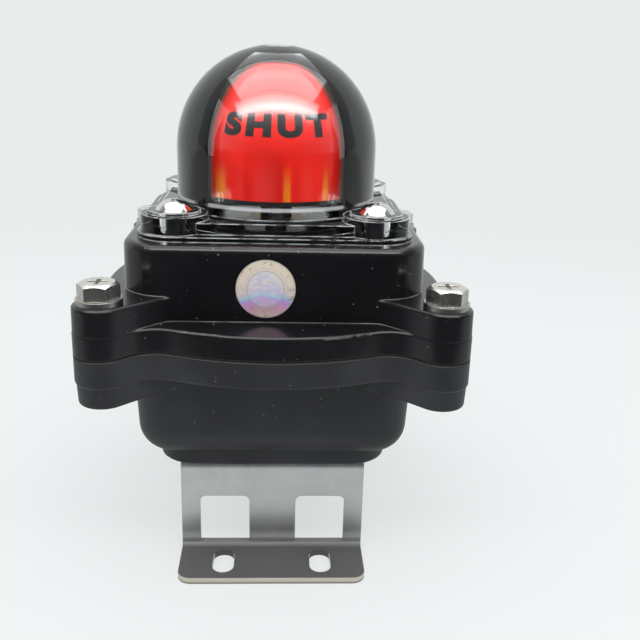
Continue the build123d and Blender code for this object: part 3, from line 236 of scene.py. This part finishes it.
# Bright metals
def bracket_finish():
    """Raw rolled stainless sheet, mottled and scored by the bend.

    It is painted darker towards the feet, which are nearly black, and darker still at the bend just above them,
    as painted shade; its pale cut edges are lighter towards their top as a painted highlight."""
    sheet = Finish("bracket_sheet", (0.55, 0.56, 0.56), 0.34, 1.0)
    across, along, height = sheet.axes()
    mottle = sheet.noise(95.0, 4.0, 0.62)
    stain = sheet.noise(23.0, 3.0, 0.6)
    rolled = sheet.noise(700.0, 2.0, 0.5, (1.0, 1.0, 0.06))
    drag = sheet.noise(520.0, 3.0, 0.65, (1.0, 1.0, 0.10)).over(0.50, 0.68)
    bend = height.over(0.0262, 0.0300) * drag
    tone = sheet.mix(mottle.over(0.3, 0.72), (0.82, 0.84, 0.84), (0.95, 0.96, 0.95))
    tone = sheet.mix(stain.over(0.52, 0.74) * 0.45, tone, (0.60, 0.57, 0.52))
    tone = sheet.mix(bend * 0.9, tone, (0.98, 0.97, 0.95))
    upright = abs(sheet.upward()).over(0.5, 0.3)
    edge = upright * height.over(0.0023, 0.0021) * abs(along).over(0.0355, 0.0365)
    # Painted shade: the leg is painted darker from about 16 mm down, the feet nearly black and the crease just
    # above them darker still.
    fold = height.over(0.0085, 0.0045)
    low_shade = height.over(0.0165, 0.0040)
    tone = sheet.mix(low_shade * 0.72, tone, (0.15, 0.15, 0.155))
    foot = height.over(0.0034, 0.0021)
    tone = sheet.mix(foot * 0.85, tone, (0.040, 0.038, 0.041))
    crease_shade = height.over(0.0030, 0.0036) * height.over(0.0052, 0.0044)
    tone = sheet.mix(crease_shade * 0.45, tone, (0.012, 0.012, 0.013))
    # Pale cut edges, lighter towards their top as a painted highlight and darker below.
    cut = sheet.mix(height.over(0.0002, 0.0009), (0.42, 0.39, 0.32), (0.96, 0.91, 0.78))
    tone = sheet.mix(edge, tone, cut)
    pits = sheet.noise(1500.0, 1.0).over(0.71, 0.76)
    sheet.set(Base_Color=tone)
    # Where the painted shade lies the sheet is also made less metallic and rougher, except on the cut edges.
    matt_fold = fold * (1.0 - edge)
    sheet.set(Metallic=1.0 - 0.85 * matt_fold)
    rough = 0.30 + 0.13 * mottle + 0.12 * bend + 0.10 * pits + 0.12 * low_shade + 0.15 * matt_fold
    sheet.set(Roughness=rough)
    sheet.bump(0.35 * rolled + 0.25 * mottle - 0.5 * bend - 0.4 * pits, 0.00003, 0.0002)
    sheet.on("mounting_bracket")


def turned_metal(name, colour, roughness, rings, depth, *pieces):
    """Machined or plated metal with fine rings about its own axis and small marks."""
    metal = Finish(name, colour, roughness, 1.0)
    tool = metal.noise(rings, 2.0, 0.55, (1.0, 1.0, 0.25))
    marks = metal.noise(240.0, 3.0, 0.6)
    dulled = tuple(c * 0.72 for c in colour)
    metal.set(Base_Color=metal.mix(marks.over(0.50, 0.72) * 0.6, colour, dulled))
    metal.set(Roughness=roughness + 0.10 * marks.over(0.35, 0.7))
    metal.bump(tool, depth, 0.00025)
    metal.on(*pieces)


bracket_finish()
for name, colour, roughness, rings, depth, pieces in (
    ("bolt_plating", (0.71, 0.69, 0.64), 0.24, 2100.0, 0.000014, ("cover_bolts", "bracket_screws")),
    ("washer_plating", (0.50, 0.49, 0.46), 0.26, 1700.0, 0.00002, ("cover_washers", "bracket_washers")),
    ("shaft_steel", (0.60, 0.60, 0.60), 0.26, 2600.0, 0.000012, ("drive_shaft", "lever_pins")),
    ("roller_steel", (0.70, 0.70, 0.69), 0.16, 2600.0, 0.00001, ("upper_roller", "lower_roller")),
    ("spring_wire", (0.50, 0.50, 0.49), 0.30, 3000.0, 0.00001, ("upper_cam_spring", "lower_cam_spring")),
    ("clip_steel", (0.20, 0.195, 0.19), 0.38, 2000.0, 0.00001, ("hub_circlip",)),
    ("plug_nickel", (0.62, 0.58, 0.50), 0.22, 1900.0, 0.00002, ("blanking_plug",)),
    (
        "small_screw_zinc",
        (0.68, 0.68, 0.66),
        0.28,
        2200.0,
        0.00001,
        ("switch_plate_screws", "switch_screws", "terminal_block_screws", "carrier_screw"),
    ),
    ("terminal_screw_zinc", (0.63, 0.63, 0.60), 0.33, 2200.0, 0.00001, ("terminal_screws",)),
    ("earth_screw_brass", (0.62, 0.49, 0.26), 0.28, 2200.0, 0.00001, ("inner_earth_screw", "outer_earth_screw")),
    ("tab_brass", (0.66, 0.53, 0.27), 0.25, 1400.0, 0.000008, ("switch_terminals",)),
):
    turned_metal(name, colour, roughness, rings, depth, *pieces)


def dome_screw_polish():
    """Polished pan heads; below the flange top the shanks are darker and rougher."""
    polish = Finish("dome_screw_polish", (0.72, 0.71, 0.68), 0.06, 1.0)
    # Darker and rougher below the flange top.
    shank = polish.axes()[2].over(FLANGE_TOP, FLANGE_TOP - 0.0003)
    marks = polish.noise(300.0, 3.0, 0.6)
    polish.set(Base_Color=polish.mix(shank, (0.72, 0.71, 0.68), (0.07, 0.072, 0.078)))
    polish.set(Roughness=0.05 + 0.05 * marks + 0.35 * shank)
    polish.bump(marks, 0.000006, 0.0002)
    polish.on("dome_screws")


dome_screw_polish()


def pressed_zinc(name, tint, *pieces):
    """Zinc-plated sheet: faint spangle under fine rolling lines."""
    zinc = Finish(name, tint, 0.34, 1.0)
    spangle = zinc.cells(260.0)
    rolled = zinc.noise(1300.0, 2.0, 0.5, (1.0, 0.08, 1.0))
    pale = tuple(min(1.0, c * 1.2) for c in tint)
    zinc.set(Base_Color=zinc.mix(spangle.over(0.1, 0.6), pale, tint))
    zinc.set(Roughness=0.28 + 0.12 * spangle)
    zinc.bump(rolled, 0.00001)
    zinc.on(*pieces)


pressed_zinc("plate_zinc", (0.56, 0.56, 0.54), "switch_plate", "spring_retainer")
pressed_zinc("lever_zinc", (0.60, 0.60, 0.58), "upper_lever", "lower_lever")


def bushing_bronze():
    """Sintered bronze: open dark pores in a warm metal."""
    bronze = Finish("sintered_bronze", (0.55, 0.38, 0.19), 0.42, 1.0)
    pores = bronze.cells(2600.0).over(0.30, 0.16)
    bronze.set(Base_Color=bronze.mix(pores * 0.7, (0.55, 0.38, 0.19), (0.16, 0.10, 0.05)))
    bronze.set(Roughness=0.36 + 0.30 * pores)
    bronze.bump(1.0 - pores, 0.00003)
    bronze.on("lower_bushing", "upper_bushing")


bushing_bronze()


# Plastics, rubber and card
def moulded(name, colour, roughness, depth, *pieces, **constants):
    """Moulded plastic: fine spark grain, slow flow shading and a few rub marks."""
    plastic = Finish(name, colour, roughness, **constants)
    grain = plastic.noise(2300.0, 2.0, 0.55)
    flow = plastic.noise(60.0, 2.0, 0.5)
    rubs = plastic.noise(320.0, 4.0, 0.7, (1.0, 0.3, 1.0)).over(0.62, 0.74)
    deep = tuple(c * 0.86 for c in colour)
    pale = tuple(min(1.0, c * 1.12 + 0.01) for c in colour)
    tone = plastic.mix(flow.over(0.3, 0.7), deep, colour)
    plastic.set(Base_Color=plastic.mix(rubs * 0.3, tone, pale))
    plastic.set(Roughness=roughness + 0.08 * grain + 0.10 * rubs)
    plastic.bump(grain, depth)
    plastic.on(*pieces)


moulded("mask_gloss", (0.004, 0.005, 0.0045), 0.30, 0.000003, "dome_mask", Specular_IOR_Level=0.15)
moulded("carrier_satin", (0.012, 0.012, 0.012), 0.32, 0.00001, "indicator_carrier")
moulded("hub_nylon", (0.74, 0.73, 0.68), 0.42, 0.00001, "cam_hub", Subsurface_Weight=0.1)
moulded("cam_red", (0.58, 0.030, 0.022), 0.38, 0.00001, "upper_cam")
moulded("cam_yellow", (0.80, 0.50, 0.025), 0.38, 0.00001, "lower_cam")
moulded("switch_case", (0.022, 0.022, 0.024), 0.36, 0.00001, "upper_switch", "lower_switch")
moulded("button_red", (0.52, 0.045, 0.03), 0.34, 0.000006, "upper_plunger", "lower_plunger")
moulded("block_ivory", (0.62, 0.61, 0.55), 0.42, 0.000012, "terminal_block")
moulded("seal_rubber", (0.016, 0.016, 0.016), 0.62, 0.00002, "cover_seal", "dome_seal", "shaft_seals")


def insulator_card():
    """Pressed fibre card: long soft fibres across the sheet."""
    card = Finish("insulator_card", (0.60, 0.54, 0.38), 0.72)
    fibres = card.noise(800.0, 4.0, 0.7, (0.35, 1.0, 1.0))
    card.set(Base_Color=card.mix(fibres.over(0.3, 0.7), (0.50, 0.44, 0.30), (0.66, 0.60, 0.44)))
    card.bump(fibres, 0.00004)
    card.on("switch_insulator")


insulator_card()


def drum_print():
    """Printed drum: red front and rear quarters, yellow side quarters, with painted reflections as warm stripes
    low down and pink and dark stripes higher up.
    """
    drum = Finish("drum_print", (0.66, 0.03, 0.012), 0.34, Coat_Weight=0.8, Coat_Roughness=0.14)
    across, along, height = drum.axes()
    turn = across.angle_from(0.0 - along)
    side = (abs(across) - abs(along)).over(-0.00012, 0.00012)
    cloud = drum.noise(70.0, 2.0, 0.5)
    red = drum.mix(cloud.over(0.3, 0.7), (0.84, 0.006, 0.0015), (0.94, 0.014, 0.003))
    low = height.over(0.1235, 0.1150)

    def stripe(middle, half):
        return abs(turn - middle).over(half, half * 0.35)

    # Painted reflections: orange stripes low down, pink and dark stripes higher up; they turn with the drum.
    high = height.over(0.1290, 0.1150)
    orange = stripe(-0.64, 0.10) + stripe(0.115, 0.055) + stripe(0.56, 0.05)
    low_reflections = low * (orange + stripe(0.80, 0.05) * 0.6)
    rose_reflections = high * (stripe(-0.13, 0.17) + stripe(0.34, 0.09) * 0.7 + stripe(-0.40, 0.06) * 0.6)
    dark = high * (stripe(0.02, 0.04) + stripe(0.22, 0.04) + stripe(-0.33, 0.03) + stripe(0.68, 0.06))
    red = drum.mix(dark * 0.16, red, (0.42, 0.006, 0.004))
    red = drum.mix(rose_reflections * 0.30, red, (0.86, 0.085, 0.075))
    red = drum.mix(low_reflections * 0.80, red, (0.92, 0.27, 0.006))
    yellow = drum.mix(cloud.over(0.3, 0.7), (0.78, 0.47, 0.012), (0.86, 0.56, 0.02))
    drum.set(Base_Color=drum.mix(side, red, yellow))
    drum.set(Roughness=0.26 + 0.10 * cloud)
    drum.bump(drum.noise(1800.0, 1.0), 0.000004)
    drum.on("indicator_drum")


drum_print()


def film_finish():
    """Black film inside the dome's wall, with the faint haze of its print."""
    film = Finish("mask_film_gloss", (0.004, 0.0048, 0.0045), 0.4, Specular_IOR_Level=0.06)
    haze = film.noise(90.0, 3.0, 0.6)
    black, hazy = (0.004, 0.0048, 0.0045), (0.009, 0.0105, 0.0098)
    film.set(Base_Color=film.mix(haze.over(0.4, 0.75), black, hazy))
    film.set(Roughness=0.35 + 0.10 * haze)
    return film


def clear_dome():
    """Clear moulded dome: glass-like body that lets lamp light through, with faint flow waves.

    Its sharp edges and the foot of its round wall are mixed with a pale matt tone, a painted highlight along the
    edges and a painted reflection at the foot."""
    clear = Finish("dome_clear", (0.985, 0.992, 0.99), 0.015, IOR=1.5, Transmission_Weight=1.0)
    waves = clear.noise(48.0, 1.0, 0.4)
    scuffs = clear.noise(620.0, 4.0, 0.7, (1.0, 1.0, 0.4)).over(0.70, 0.78)
    clear.set(Roughness=0.004 + 0.10 * scuffs)
    clear.bump(waves, 0.00022, 0.0004)
    open_air = clear.node("ShaderNodeBsdfTransparent", values={0: (0.93, 0.94, 0.94)})
    # Pale matt tone: painted highlight along the sharp edges, and a painted reflection as a milky band at the
    # foot.
    painted_light_tone = clear.node("ShaderNodeBsdfDiffuse", values={0: (0.86, 0.88, 0.89)})
    shadow = clear.node("ShaderNodeLightPath", out=1)
    body = Value(clear, clear.shader.outputs[0])
    broken = clear.noise(170.0, 3.0, 0.6).over(0.34, 0.62)
    bright = clear.edges(0.0007, 0.985, 0.88) * broken * 0.70
    x, y, z = clear.axes()
    foot = (x * x + y * y).root().over(0.0362, 0.0350) * z.over(FLANGE_TOP - 0.0004, FLANGE_TOP)
    corner = abs(x).over(0.0185, 0.0210) * abs(y).over(0.0185, 0.0210)
    foot = foot * z.over(FLANGE_TOP + 0.0010, FLANGE_TOP + 0.0004) * (1.0 - corner) * 0.36
    body = clear.node("ShaderNodeMixShader", values={0: bright, 1: body, 2: painted_light_tone})
    body = clear.node("ShaderNodeMixShader", values={0: foot, 1: body, 2: painted_light_tone})
    both = clear.node("ShaderNodeMixShader", values={0: shadow, 1: body, 2: open_air})
    clear.tree.links.new(both.socket, clear.tree.nodes["Material Output"].inputs["Surface"])
    clear.on("indicator_dome")


clear_dome()


# Pieces made here
def new_piece(name, points, faces, finish, body):
    """Puts worked-out points and faces into a mesh that rides on a body."""
    mesh = bpy.data.meshes.new(name)
    mesh.from_pydata(points.tolist(), [], faces.tolist())
    mesh.materials.append(finish.material)
    mesh.shade_smooth()
    piece = bpy.data.objects.new(name, mesh)
    scene.collection.objects.link(piece)
    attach(piece, body)
    return piece


def turned(profile, segments):
    """Profile of (radius, height) points carried round the z axis: x = r cos a, y = r sin a."""
    angle = np.linspace(0.0, 2.0 * np.pi, segments, endpoint=False)
    radius, height = profile[1:-1, 0], profile[1:-1, 1]
    x = np.outer(radius, np.cos(angle))
    y = np.outer(radius, np.sin(angle))
    z = np.repeat(height[:, None], segments, axis=1)
    rings = np.stack([x, y, z], axis=-1).reshape(-1, 3)
    poles = np.array([[0.0, 0.0, profile[0, 1]], [0.0, 0.0, profile[-1, 1]]])
    points = np.vstack([rings, poles])
    row = np.arange(len(radius) - 1)[:, None] * segments
    near = np.arange(segments)[None, :]
    far = (near + 1) % segments
    walls = np.stack([row + near, row + near + segments, row + far + segments, row + far], axis=-1)
    first, last = len(rings), len(rings) + 1
    end = (len(radius) - 1) * segments
    caps = np.vstack(
        [
            np.stack([np.full(segments, first), near[0], far[0]], axis=-1),
            np.stack([np.full(segments, last), end + far[0], end + near[0]], axis=-1),
        ]
    )
    return points, walls.reshape(-1, 4), caps


def wrapped_patch(name, longitude, height, thickness, finish):
    """Film inside the dome's wall over a grid of longitude and height, closed round its edges.

    Below the dome's equator the film is upright; above it the radius follows the sphere."""
    equator = DOME_EQUATOR
    radius = DOME_RADIUS - DOME_WALL + 0.28 * MM
    columns, rows = len(longitude), len(height)
    layers = []
    for reach in (radius, radius - thickness):
        rise = np.clip(height - equator, 0.0, None) * reach / radius
        around = np.sqrt(np.clip(reach**2 - rise**2, 0.0, None))
        z = np.where(height > equator, equator + rise, height)
        x = np.outer(around, np.sin(longitude))
        y = -np.outer(around, np.cos(longitude))
        z = np.repeat(z[:, None], columns, axis=1)
        layers.append(np.stack([x, y, z], axis=-1).reshape(-1, 3))
    points = np.vstack(layers)
    index = np.arange(rows * columns).reshape(rows, columns)
    under = index + rows * columns
    corners = index[:-1, :-1], index[:-1, 1:], index[1:, 1:], index[1:, :-1]
    front = np.stack(corners, axis=-1)
    back = (front + rows * columns)[..., ::-1]
    rims = []
    for line, other, turn in (
        (index[0], under[0], 1),
        (index[-1], under[-1], -1),
        (index[:, 0], under[:, 0], -1),
        (index[:, -1], under[:, -1], 1),
    ):
        rim = np.stack([line[:-1], other[:-1], other[1:], line[1:]], axis=-1)
        rims.append(rim if turn > 0 else rim[:, ::-1])
    faces = np.vstack([front.reshape(-1, 4), back.reshape(-1, 4), *rims])
    return new_piece(name, points, faces, finish, "housing")


def seal_disc():
    """Plain foil seal on the cover's front wall: a flat disc with a raised rim and two rings."""
    reach = 8.2 * MM
    steps = np.array([0.0, 0.30, 0.34, 0.38, 0.60, 0.64, 0.68, 0.90, 0.94, 1.0, 1.0, 0.0]) * reach
    rise = np.array([10, 10, 13, 10, 10, 13, 10, 10, 14, 12, 0, 0]) * 0.01 * MM
    points, walls, caps = turned(np.stack([steps, rise], axis=-1), 96)
    lean = math.radians(1.0)
    level = SEAL_LEVEL
    wall = -44.8 * MM + (level - PARTING) * math.tan(lean)
    east, up, out = points[:, 0].copy(), points[:, 1].copy(), points[:, 2].copy()
    points = np.stack(
        [
            east + SEAL_EAST,
            wall - out * math.cos(lean) + up * math.sin(lean) - 0.00001,
            level + up * math.cos(lean) + out * math.sin(lean),
        ],
        axis=-1,
    )
    foil = Finish("seal_foil", (0.75, 0.70, 0.66), 0.30, 0.25)
    x, y, z = foil.axes((SEAL_EAST, 0.0, level))
    reach_out = (x * x + z * z).root()
    glare = foil.noise(160.0, 3.0, 0.6)
    # The colours graded by height, and the blue and green sheen below, are a painted reflection standing in for
    # the foil's iridescence.
    climb = (z + 0.35 * abs(x) + 0.0035 * (glare - 0.5)).over(-0.0085, 0.0085)
    stops = [
        (0.0, (0.66, 0.56, 0.50)),
        (0.16, (0.72, 0.38, 0.56)),
        (0.32, (0.60, 0.32, 0.80)),
        (0.42, (0.33, 0.70, 0.78)),
        (0.52, (0.74, 0.62, 0.72)),
        (0.68, (0.80, 0.70, 0.62)),
        (1.0, (0.82, 0.72, 0.58)),
    ]
    tone = foil.node("ShaderNodeValToRGB", {"stops": stops}, {0: climb})
    inner = reach_out.over(0.00500, 0.00490)
    tone = foil.mix(inner * 0.35, tone, (0.80, 0.78, 0.84))
    ring = reach_out.over(0.00478, 0.00490) * reach_out.over(0.00528, 0.00515)
    tone = foil.mix(ring * 0.6, tone, (0.46, 0.44, 0.50))
    ticks = (z.angle_from(x) * 72.0).sine().over(0.2, 0.9) * reach_out.over(0.0053, 0.0054)
    tone = foil.mix(ticks * reach_out.over(0.0062, 0.0061) * 0.5, tone, (0.42, 0.40, 0.40))
    sheen = foil.noise(620.0, 3.0, 0.6, (1.0, 1.0, 2.2))
    tone = foil.mix(inner * sheen.over(0.44, 0.62) * 0.40, tone, (0.40, 0.42, 0.86))
    tone = foil.mix(inner * sheen.over(0.44, 0.34) * 0.45, tone, (0.42, 0.78, 0.70))
    worn = foil.noise(520.0, 4.0, 0.7).over(0.52, 0.66) * reach_out.over(0.0050, 0.0078)
    tone = foil.mix(worn * 0.75, tone, (0.34, 0.24, 0.20))
    tone = foil.mix(reach_out.over(0.0076, 0.0081) * 0.5, tone, (0.45, 0.38, 0.32))
    fine = foil.cells(3000.0)
    foil.set(Base_Color=tone)
    foil.set(Roughness=0.28 + 0.2 * fine)
    foil.bump(fine, 0.00001)
    mesh = bpy.data.meshes.new("seal_disc")
    mesh.from_pydata(points.tolist(), [], walls.tolist() + caps.tolist())
    mesh.materials.append(foil.material)
    piece = bpy.data.objects.new("seal_disc", mesh)
    scene.collection.objects.link(piece)
    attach(piece, "housing")


seal_disc()


def mask_film():
    """Two side panels of black film and the small cap that joins them over the dome's top."""
    film = film_finish()
    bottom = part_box("indicator_dome")[0].z + 0.4 * MM
    equator = DOME_EQUATOR
    radius = DOME_RADIUS - DOME_WALL
    window, cap = math.radians(41.8), math.asin(8.6 * MM / radius)
    climb = np.linspace(0.0, math.pi / 2 - cap, 33)
    upright = np.linspace(bottom, equator, 8)[:-1]
    height = np.concatenate([upright, equator + radius * np.sin(climb)])
    for side, middle in (("right", math.pi / 2), ("left", -math.pi / 2)):
        spread = math.pi / 2 - window
        longitude = np.linspace(middle - spread, middle + spread, 49)
        wrapped_patch(f"mask_film_{side}", longitude, height, 0.0001, film)
    around = np.linspace(0.0, 2.0 * math.pi, 97)
    crown = equator + radius * np.cos(np.linspace(cap, 0.002, 9))
    wrapped_patch("mask_film_cap", around, crown, 0.0001, film)


mask_film()


def flat_word(word, height, narrow, thickness):
    """Bold letters as a closed mesh in the xy plane, cut into strips so that they can bend."""
    curve = bpy.data.curves.new(word, "FONT")
    curve.body = word
    curve.size = height / 0.86
    curve.offset = height * 0.075
    curve.extrude = thickness / 2
    curve.align_x = "CENTER"
    curve.space_character = 1.32
    text = bpy.data.objects.new(word, curve)
    scene.collection.objects.link(text)
    bpy.context.view_layer.update()
    mesh = bpy.data.meshes.new_from_object(text.evaluated_get(bpy.context.evaluated_depsgraph_get()))
    bpy.data.objects.remove(text)
    flat = np.zeros(len(mesh.vertices) * 3)
    mesh.vertices.foreach_get("co", flat)
    flat = flat.reshape(-1, 3)
    step = height / 9
    cut = bmesh.new()
    cut.from_mesh(mesh)
    bmesh.ops.remove_doubles(cut, verts=cut.verts, dist=1e-7)
    for axis in (0, 1):
        first, last = flat[:, axis].min(), flat[:, axis].max()
        for i in range(int(first / step), int(last / step) + 1):
            place, normal = Vector((0, 0, 0)), Vector((0, 0, 0))
            place[axis], normal[axis] = i * step, 1.0
            geometry = cut.verts[:] + cut.edges[:] + cut.faces[:]
            bmesh.ops.bisect_plane(cut, geom=geometry, plane_co=place, plane_no=normal)
    bmesh.ops.triangulate(cut, faces=cut.faces)
    cut.to_mesh(mesh)
    cut.free()
    points = np.zeros(len(mesh.vertices) * 3)
    mesh.vertices.foreach_get("co", points)
    points = points.reshape(-1, 3)
    points[:, 0] *= narrow
    return mesh, points


def ink():
    """Black print, slightly uneven."""
    black = Finish("drum_ink", (0.012, 0.012, 0.014), 0.35)
    patch = black.noise(500.0, 2.0, 0.5)
    thick, thin = (0.010, 0.010, 0.012), (0.022, 0.021, 0.022)
    black.set(Base_Color=black.mix(patch.over(0.35, 0.7), thick, thin))
    black.set(Roughness=0.28 + 0.14 * patch)
    return black


def drum_word(name, word, turn, finish):
    """Bends a word onto the drum's round top: x becomes longitude and y latitude."""
    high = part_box("indicator_drum")[1]
    radius = high.x
    centre = high.z - radius
    middle = math.radians(19.5)
    letter = 7.0 * MM
    mesh, flat = flat_word(word, letter, 1.22, 0.10 * MM)
    latitude = middle + (flat[:, 1] - flat[:, 1].mean()) / radius
    longitude = flat[:, 0] / (radius * math.cos(middle)) + turn
    reach = radius + 0.06 * MM + flat[:, 2]
    points = np.stack(
        [
            reach * np.cos(latitude) * np.sin(longitude),
            -reach * np.cos(latitude) * np.cos(longitude),
            centre + reach * np.sin(latitude),
        ],
        axis=-1,
    )
    mesh.vertices.foreach_set("co", points.ravel())
    mesh.name = name
    mesh.materials.clear()
    mesh.materials.append(finish.material)
    mesh.update()
    piece = bpy.data.objects.new(name, mesh)
    scene.collection.objects.link(piece)
    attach(piece, "rotor")


print_ink = ink()
drum_word("word_shut_front", "SHUT", 0.0, print_ink)
drum_word("word_shut_rear", "SHUT", math.pi, print_ink)
drum_word("word_open_right", "OPEN", math.pi / 2, print_ink)
drum_word("word_open_left", "OPEN", -math.pi / 2, print_ink)


# Floor and backdrop in one sheet, bent up behind the box
def studio_sheet():
    """Floor that turns up through a quarter circle into a wall: height = R - R cos a.

    The eye, mirrors and glass see it partly as plain white paper. Mirrors see it darker than
    the eye does near the box, and almost black in front of it."""
    bend, back, front, side, tall = 0.6, 0.9, -9.0, 9.0, 2.6
    turn = np.linspace(0.0, np.pi / 2, 25)
    y = np.concatenate([[front, -0.8, 0.0], back + bend * np.sin(turn), [back + bend]])
    z = np.concatenate([[0.0, 0.0, 0.0], bend - bend * np.cos(turn), [tall]])
    x = np.array([-side, side])
    sunk = np.repeat(z, 2) - 0.2 * MM
    points = np.stack([np.tile(x, len(y)), np.repeat(y, 2), sunk], axis=-1)
    row = np.arange(len(y) - 1) * 2
    faces = np.stack([row, row + 1, row + 3, row + 2], axis=-1)
    mesh = bpy.data.meshes.new("studio_sheet")
    mesh.from_pydata(points.tolist(), [], faces.tolist())
    mesh.shade_smooth()
    paper = Finish("studio_paper", (0.70, 0.73, 0.74), 0.85)
    glow = paper.node("ShaderNodeEmission", values={0: (0.815, 0.842, 0.838), 1: 1.0})
    rays = [paper.node("ShaderNodeLightPath", out=i) for i in (0, 3, 6)]
    seen = rays[0] + rays[1] + rays[2]
    body = Value(paper, paper.shader.outputs[0])
    across, along = paper.axes()[:2]
    far = (across * across + along * along).root().over(0.22, 0.85)
    share = seen.over(0.0, 1.0) * (0.74 + 0.26 * far)
    lit = paper.node("ShaderNodeMixShader", values={0: share, 1: body, 2: glow})
    beyond = rays[1] * (0.45 * along.over(0.40, 0.15) + 0.55 * along.over(-0.12, -0.26))
    gloom = paper.node("ShaderNodeEmission", values={0: (0.9, 0.95, 1.0), 1: 0.05})
    both = paper.node("ShaderNodeMixShader", values={0: beyond, 1: lit, 2: gloom})
    paper.tree.links.new(both.socket, paper.tree.nodes["Material Output"].inputs["Surface"])
    mesh.materials.append(paper.material)
    sheet = bpy.data.objects.new("studio_sheet", mesh)
    scene.collection.objects.link(sheet)


studio_sheet()


def lamp(name, place, target, width, height, power, tint, shown=True):
    """Soft box facing its target, unseen by the camera itself and, where not shown, by gloss."""
    data = bpy.data.lights.new(name, "AREA")
    data.shape = "RECTANGLE"
    data.size = width
    data.size_y = height
    data.energy = power
    data.color = tint
    box = bpy.data.objects.new(name, data)
    box.location = place
    box.rotation_euler = (Vector(target) - Vector(place)).to_track_quat("-Z", "Y").to_euler()
    box.visible_camera = False
    box.visible_glossy = shown
    scene.collection.objects.link(box)


middle = (0.0, 0.0, 0.09)
reach = 0.95
strips = ((46.0, 0.55), (50.2, 1.9), (54.4, 2.3), (58.6, 1.7), (62.8, 1.2), (67.0, 0.9))
for step, (rise, power) in enumerate(strips):
    lift = math.radians(rise)
    place = (0.0, -reach * math.cos(lift), 0.12 + reach * math.sin(lift))
    name = f"front_strip_{step + 1}"
    lamp(name, place, middle, 1.70, 0.070, 1.4 * power, (1.0, 0.99, 0.98))
lamp("top_box", (0.0, 0.06, 1.10), middle, 1.50, 0.84, 8.5, (0.97, 0.99, 1.0))
lamp("left_box", (-1.0, 0.0, 0.40), middle, 0.5, 0.8, 2.4, (0.95, 0.98, 1.0), False)
lamp("right_box", (1.0, 0.0, 0.40), middle, 0.5, 0.8, 2.4, (0.97, 0.99, 1.0), False)


def surroundings():
    """Pale room light, weaker from the front, and plain white where the eye sees past the sheet."""
    world = bpy.data.worlds.new("room")
    world.use_nodes = True
    scene.world = world
    tree = world.node_tree
    back = tree.nodes["Background"]
    back.inputs["Color"].default_value = (0.92, 0.96, 1.0, 1.0)
    facing = tree.nodes.new("ShaderNodeTexCoord")
    split = tree.nodes.new("ShaderNodeSeparateXYZ")
    shade = tree.nodes.new("ShaderNodeMapRange")
    shade.inputs["From Min"].default_value = -0.9
    shade.inputs["From Max"].default_value = 0.5
    shade.inputs["To Min"].default_value = 0.10
    shade.inputs["To Max"].default_value = 0.55
    white = tree.nodes.new("ShaderNodeBackground")
    white.inputs["Color"].default_value = (0.815, 0.842, 0.838, 1.0)
    path = tree.nodes.new("ShaderNodeLightPath")
    mix = tree.nodes.new("ShaderNodeMixShader")
    for near, far in (
        (facing.outputs["Generated"], split.inputs[0]),
        (split.outputs["Y"], shade.inputs["Value"]),
        (shade.outputs[0], back.inputs["Strength"]),
        (path.outputs["Is Camera Ray"], mix.inputs[0]),
        (back.outputs[0], mix.inputs[1]),
        (white.outputs[0], mix.inputs[2]),
        (mix.outputs[0], tree.nodes["World Output"].inputs["Surface"]),
    ):
        tree.links.new(near, far)


surroundings()
